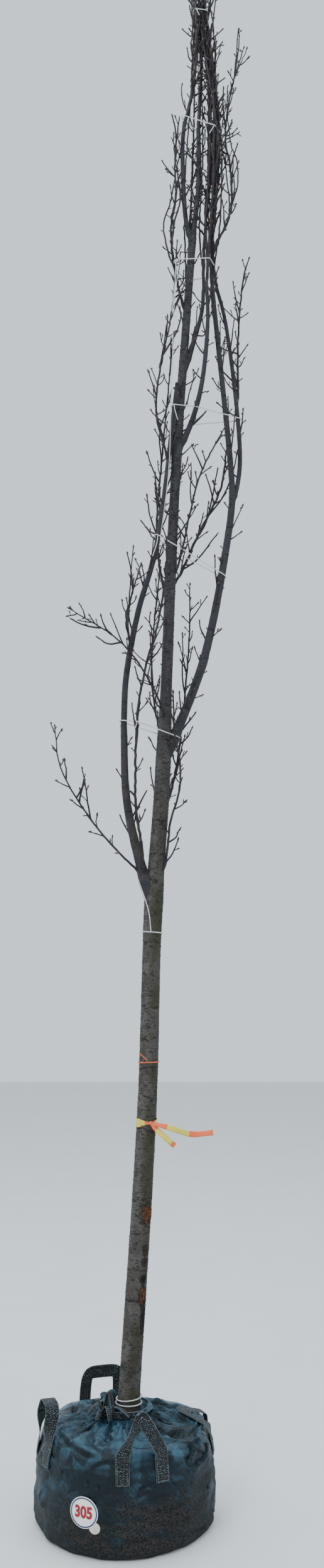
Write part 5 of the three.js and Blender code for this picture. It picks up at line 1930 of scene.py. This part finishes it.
class TREE_OT_fittings(bpy.types.Operator):
    """Sews the handles' feet with pale stitches and punches the bag's drain holes"""

    bl_idname = "tree.fittings"
    bl_label = "Stitches and Drain Holes"

    def execute(self, context):
        tone = colours().thread
        thread = plain_finish("Stitch Thread", tone, toned(tone, 0.6), 400, 0.8)
        dark = plain_finish("Drain Hole Rim", *HOLE_TONES, 200, 0.7)
        sprinkled("stitches", self.stitch_rows(), STITCH_PROFILE, 6, 0, 2, thread, "webbing")
        sprinkled("drain_holes", self.hole_rows(), HOLE_PROFILE, 16, 0, 2, dark, "bag")
        return {"FINISHED"}

    def stitch_rows(self):
        """A box of stitches on each sewn foot: up both sides, and across below and above."""
        places = [(across, up, 0, 1) for across in (-17, 17) for up in np.arange(218, 268, 6.5)]
        places += [(across, up, 1, 0) for up in (217.5, 268) for across in np.arange(-15, 15, 6.5)]
        rows = []
        for handle in HANDLES:
            for side in (1, -1):
                middle = handle["azimuth"] * DEGREE + side * LEG["half"] / BAG["girth"]
                rows += [self.stitch(middle, *place) for place in places]
        return rows

    def stitch(self, middle, across, height, right, up):
        long, thick, off = STITCH
        spots = []
        for share in (0, 1):
            turned = middle + (across + right * share * long) / BAG["girth"]
            spots.append(wall_spot(turned, height + up * share * long, off))
        return (spots[0], unit(spots[1] - spots[0]), long, thick)

    def hole_rows(self):
        deep, wide = HOLE_SIZE
        rows = []
        for azimuth, height in DRAIN_HOLES:
            place = wall_spot(azimuth * DEGREE, height, -1.2)
            rows.append((place, azimuth_point(azimuth * DEGREE, 1, 0), deep, wide))
        return rows


# The bow's loops and ends: azimuth in degrees, reach and rise in mm, how far round each curls
# (1 comes down to the knot's height), and the width of its webbing
BOW = [
    (48, 44, 66, 0.98, 17), (118, 40, 52, 0.9, 15), (-62, 58, 26, 0.98, 17),
    (-110, 46, 34, 0.95, 15), (66, 96, 22, 1.04, 15), (22, 66, 26, 1.1, 14),
    (-20, 60, 14, 1.12, 13),
]


class TREE_OT_drawstring(bpy.types.Operator):
    """Ties the webbing drawstring round the bag's neck, with its bow and two ends"""

    bl_idname = "tree.drawstring"
    bl_label = "Drawstring"

    def execute(self, context):
        tones = colours()
        turns = np.linspace(0, tau, 73)
        ring = [azimuth_point(turn, 83.5, 343.8) for turn in turns]
        outward = [azimuth_point(turn, 1, 0) for turn in turns]
        meshes = [strap_mesh("ring", ring, outward, 22, 3)]
        knot = azimuth_point(-52 * DEGREE, 88, 346)
        for azimuth, reach, rise, fall, width in BOW:
            meshes.append(self.arch(knot, azimuth * DEGREE, reach, rise, fall, width))
        for lift in (-7, 5):
            meshes.append(self.wrap(knot + UP * lift, lift))
        material = webbing_finish(tones.webbing, tones.thread)
        made("drawstring_bow", meshes, material, "webbing", "neck_drawstring")
        return {"FINISHED"}

    def wrap(self, knot, lift):
        """A turn of webbing round the knot."""
        turns = np.linspace(0, tau, 33)
        centres, faces = [], []
        for turn in turns:
            out = azimuth_point(turn + lift, 1, 0.35 * sin(turn))
            centres.append(knot + out * np.array([13, 11, 13]))
            faces.append(out)
        return strap_mesh("wrap", centres, faces, 12, 2.6)

    def arch(self, knot, azimuth, reach, rise, fall, width):
        centres, faces = [], []
        sideways = azimuth_point(azimuth + pi / 2, 1, 0)
        for share in np.linspace(0, 1, 25):
            up = rise * sin(pi * fall * share)
            centres.append(knot + azimuth_point(azimuth, reach * share, up))
            slope = pi * fall * rise * cos(pi * fall * share)
            along = azimuth_point(azimuth, reach, slope)
            faces.append(np.cross(sideways, along))
        return strap_mesh("arch", centres, faces, width, 2.6)


TAG = {"azimuth": -23, "height": 134, "radius": 48, "squat": 0.93}


def tag_spot(right, up, off):
    """A point on the tag's face, from its middle, a little off the bag's wall."""
    azimuth = TAG["azimuth"] * DEGREE + right / BAG["girth"]
    return wall_spot(azimuth, TAG["height"] + up * TAG["squat"], off) * MM


class TREE_OT_tag(bpy.types.Operator):
    """Lays the round tag on the wall, with its printed ring and number, and a small disc behind"""

    bl_idname = "tree.tag"
    bl_label = "Tag"

    def execute(self, context):
        tones, radius = colours(), TAG["radius"]
        white = plain_finish("Tag Film", tones.tag, toned(tones.tag, 0.8), 60)
        blue = plain_finish("Ring Print", tones.ring, toned(tones.ring, 1.6), 90)
        red = plain_finish("Number Print", tones.number, toned(tones.number, 1.3), 90)
        cream = plain_finish("Cream Disc", (0.6, 0.57, 0.5), (0.4, 0.36, 0.3), 70)
        made("lot_disc", [self.band(0, 0, 0, radius, 0.5, 1.4)], white, "tag", "lot_tag")
        made("tag_ring", [self.band(0, 0, radius * 0.865, radius * 0.94, 1.1, 2.0)], blue, "tag")
        made("small_disc", [self.band(37, -42, 0, 18, 0.4, 1.0)], cream, "tag")
        made("tag_number", [self.number("305")], red, "tag")
        return {"FINISHED"}

    def band(self, right, up, inner, outer, low, high, sides=96):
        """A disc or ring that follows the wall, between two heights off it."""
        radii = [inner, outer] if inner else list(np.linspace(0, outer, 9)[1:])
        rows = [(radius, high) for radius in radii] + [(radius, low) for radius in radii[::-1]]
        points = []
        for radius, off in rows:
            for i in range(sides):
                turn = tau * i / sides
                spot = (right + radius * cos(turn), up + radius * sin(turn))
                points.append(tag_spot(*spot, off))
        if inner:
            return mesh_of("band", points, ring_faces(sides, len(rows), closed=True))
        ends = [tag_spot(right, up, off) for off in (high, low)]
        return mesh_of("band", [ends[0], *points, ends[1]], shell_faces(sides, len(rows)))

    def number(self, text):
        curve = adjusted(
            bpy.data.curves.new("tag_number", "FONT"), body=text, size=0.044, align_x="CENTER",
            align_y="CENTER", extrude=0.0002, offset=0.0019, resolution_u=6,
        )
        item = new_object("tag_number_text", curve)
        mesh = bpy.data.meshes.new_from_object(item)
        bpy.data.objects.remove(item)
        cut = bmesh.new()
        cut.from_mesh(mesh)
        bmesh.ops.remove_doubles(cut, verts=cut.verts, dist=1e-6)
        long = [edge for edge in cut.edges if edge.calc_length() > 0.008]
        bmesh.ops.subdivide_edges(cut, edges=long, cuts=2)
        for vertex in cut.verts:
            right, up, out = vertex.co / MM
            vertex.co = tag_spot(right * 0.92, up * 1.1, 1.8 + out)
        cut.to_mesh(mesh)
        cut.free()
        return mesh


def loop_of(tie):
    """A tie's closed route on the smooth limbs."""
    clearance = STRING["radius"] + STRING["rest"]
    points = tie_stations(tie, LIMBS, Limb.smooth_spot_at_height, clearance)
    closed = np.array([*points, points[0]])
    lengths = lengths_along(closed)
    even = np.linspace(0, lengths[-1], max(24, int(lengths[-1] / 5)))
    return np.column_stack([np.interp(even, lengths, column) for column in closed.T]), points


# The long loose end that hangs down in front of the limbs
LOOSE_STRING = [
    [4640, 196, 60], [4400, 172, 74], [4180, 166, 66], [3990, 160, 70], [3700, 150, 80],
    [3420, 118, 86],
]


class TREE_OT_strings(bpy.types.Operator):
    """Winds the white ties and the orange one round the limbs, with their loose ends"""

    bl_idname = "tree.strings"
    bl_label = "Strings"

    def execute(self, context):
        tones = colours()
        white = string_finish("White String", tones.string, toned(tones.string, 0.45))
        orange = string_finish("Orange String", tones.orange, toned(tones.orange, 0.4))
        lines = [line for tie in TIES for line in self.tie_lines(tie)]
        loose = Route([point_of(place) for place in LOOSE_STRING]).even(8)
        lines.append(self.thread(loose, STRING["drawn_loose"]))
        names = [tie["name"] for tie in TIES]
        self.wound("string_ties", lines, white, "string", names)
        self.wound("string_orange", self.tie_lines(ORANGE), orange, "orange", [ORANGE["name"]])
        return {"FINISHED"}

    def thread(self, points, radius):
        return domed(points, np.full(len(points), float(radius)))

    def tie_lines(self, tie):
        loop, stations = loop_of(tie)
        lines = [(loop, np.full(len(loop), STRING["radius"] * STRING["drawn"]))]
        if tie["tail"]:
            tail = tie_tail(tie, stations).even(5)
            lines.append(self.thread(tail, STRING["drawn_tail"]))
        return lines

    def wound(self, name, lines, material, slot, nodes):
        hand_over(skinned(name, lines, 8, 0.0, 100.0, material), slot, *nodes)


# The ribbon's height, the azimuth of its knot in degrees, its width there with what is added all
# round, and the width of its ends
RIBBON = {"height": 1272, "azimuth": 22, "widths": (8, 22), "tail": 20}
# Its ends, as [right, forward, up] from the knot, and the shares between which each is yellow
RIBBON_TAILS = [
    ([[0, 0, 0], [64, 7, -14], [140, 5, -36], [218, -3, -32]], (0.26, 0.62)),
    ([[0, 0, 0], [34, 10, -32], [84, 14, -74]], (0.28, 0.86)),
]


class TREE_OT_ribbon(bpy.types.Operator):
    """Ties the striped marker ribbon round the trunk, with its knot and two loose ends"""

    bl_idname = "tree.ribbon"
    bl_label = "Marker Ribbon"

    def execute(self, context):
        tones = colours()
        centre, _, radius = LIMBS["trunk"].smooth_spot_at_height(RIBBON["height"])
        knot_turn = RIBBON["azimuth"] * DEGREE
        turns = np.linspace(knot_turn, knot_turn + tau, 97)
        gaps = np.minimum(turns - knot_turn, knot_turn + tau - turns)
        pinch = eased_share(gaps, 0.05, 1.3)
        reach = radius + 2.1 + 2 * (1 - pinch)
        ring = [centre + azimuth_point(turn, out, 0) for turn, out in zip(turns, reach)]
        outward = [azimuth_point(turn, 1, 0.25 * sin(turn * 4)) for turn in turns]
        widths = RIBBON["widths"][0] + RIBBON["widths"][1] * pinch
        meshes = [strap_mesh("ring", ring, outward, widths, 0.7, 8, eased_share(gaps, 0.5, 0.54))]
        knot = centre + azimuth_point(knot_turn, radius + 6.6, 0)
        meshes += [self.tail(knot, *row) for row in RIBBON_TAILS]
        ball = turned_shape("knot", KNOT_PROFILE, 16)
        for vertex in ball.vertices:
            x, y, z = vertex.co
            bump = 1 + 0.2 * noise.noise(vertex.co * 3)
            vertex.co = Vector((x * 6.5, y * 5, (z - 0.5) * 13)) * bump * MM + Vector(knot) * MM
        material = ribbon_finish(tones.orange, tones.yellow)
        made("ribbon_marker", [*meshes, ball], material, "ribbon", "marker_ribbon")
        return {"FINISHED"}

    def tail(self, knot, places, yellow):
        """A loose end that twists a little as it runs out."""
        points = Route([(right, -forward, up) for right, forward, up in places]).even(4)
        shares = np.linspace(0, 1, len(points))
        stripe = (shares > yellow[0]) & (shares < yellow[1])
        twist = [(sin(i / 5), sin(i / 6)) for i in range(len(points))]
        face = [(0.25 * right, -1, 0.15 + 0.5 * up) for right, up in twist]
        width = RIBBON["tail"] * (0.45 + 0.55 * eased_share(shares, 0, 0.25))
        return strap_mesh("tail", knot + points, face, width, 0.7, 4, stripe)


class TREE_PT_sidebar(bpy.types.Panel):
    """The settings, and a button for each group of pieces"""

    bl_label = "Bagged Winter Tree"
    bl_space_type = "VIEW_3D"
    bl_region_type = "UI"
    bl_category = "Tree"

    def draw(self, context):
        for group in (growth(), bag_shape(), colours()):
            box = self.layout.box()
            for name in group.bl_rna.properties.keys():
                if name not in ("rna_type", "name"):
                    box.prop(group, name)
        for operator in OPERATORS:
            self.layout.operator(operator.bl_idname)


SETTINGS = {"tree_growth": TreeGrowth, "bag_shape": BagShape, "tree_colours": TreeColours}
OPERATORS = (
    TREE_OT_stage, TREE_OT_trunk, TREE_OT_boughs, TREE_OT_lenticels, TREE_OT_twigs, TREE_OT_bag,
    TREE_OT_handles, TREE_OT_fittings, TREE_OT_drawstring, TREE_OT_tag, TREE_OT_strings,
    TREE_OT_ribbon,
)


def register():
    for kind in (*SETTINGS.values(), *OPERATORS, TREE_PT_sidebar):
        bpy.utils.register_class(kind)
    for name, kind in SETTINGS.items():
        setattr(bpy.types.Scene, name, bpy.props.PointerProperty(type=kind))


def unregister():
    for name in SETTINGS:
        delattr(bpy.types.Scene, name)
    for kind in (TREE_PT_sidebar, *reversed(OPERATORS), *reversed(SETTINGS.values())):
        bpy.utils.unregister_class(kind)


def main():
    register()
    for operator in OPERATORS:
        group, name = operator.bl_idname.split(".")
        getattr(getattr(bpy.ops, group), name)()
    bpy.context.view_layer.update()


if __name__ == "__main__":
    main()
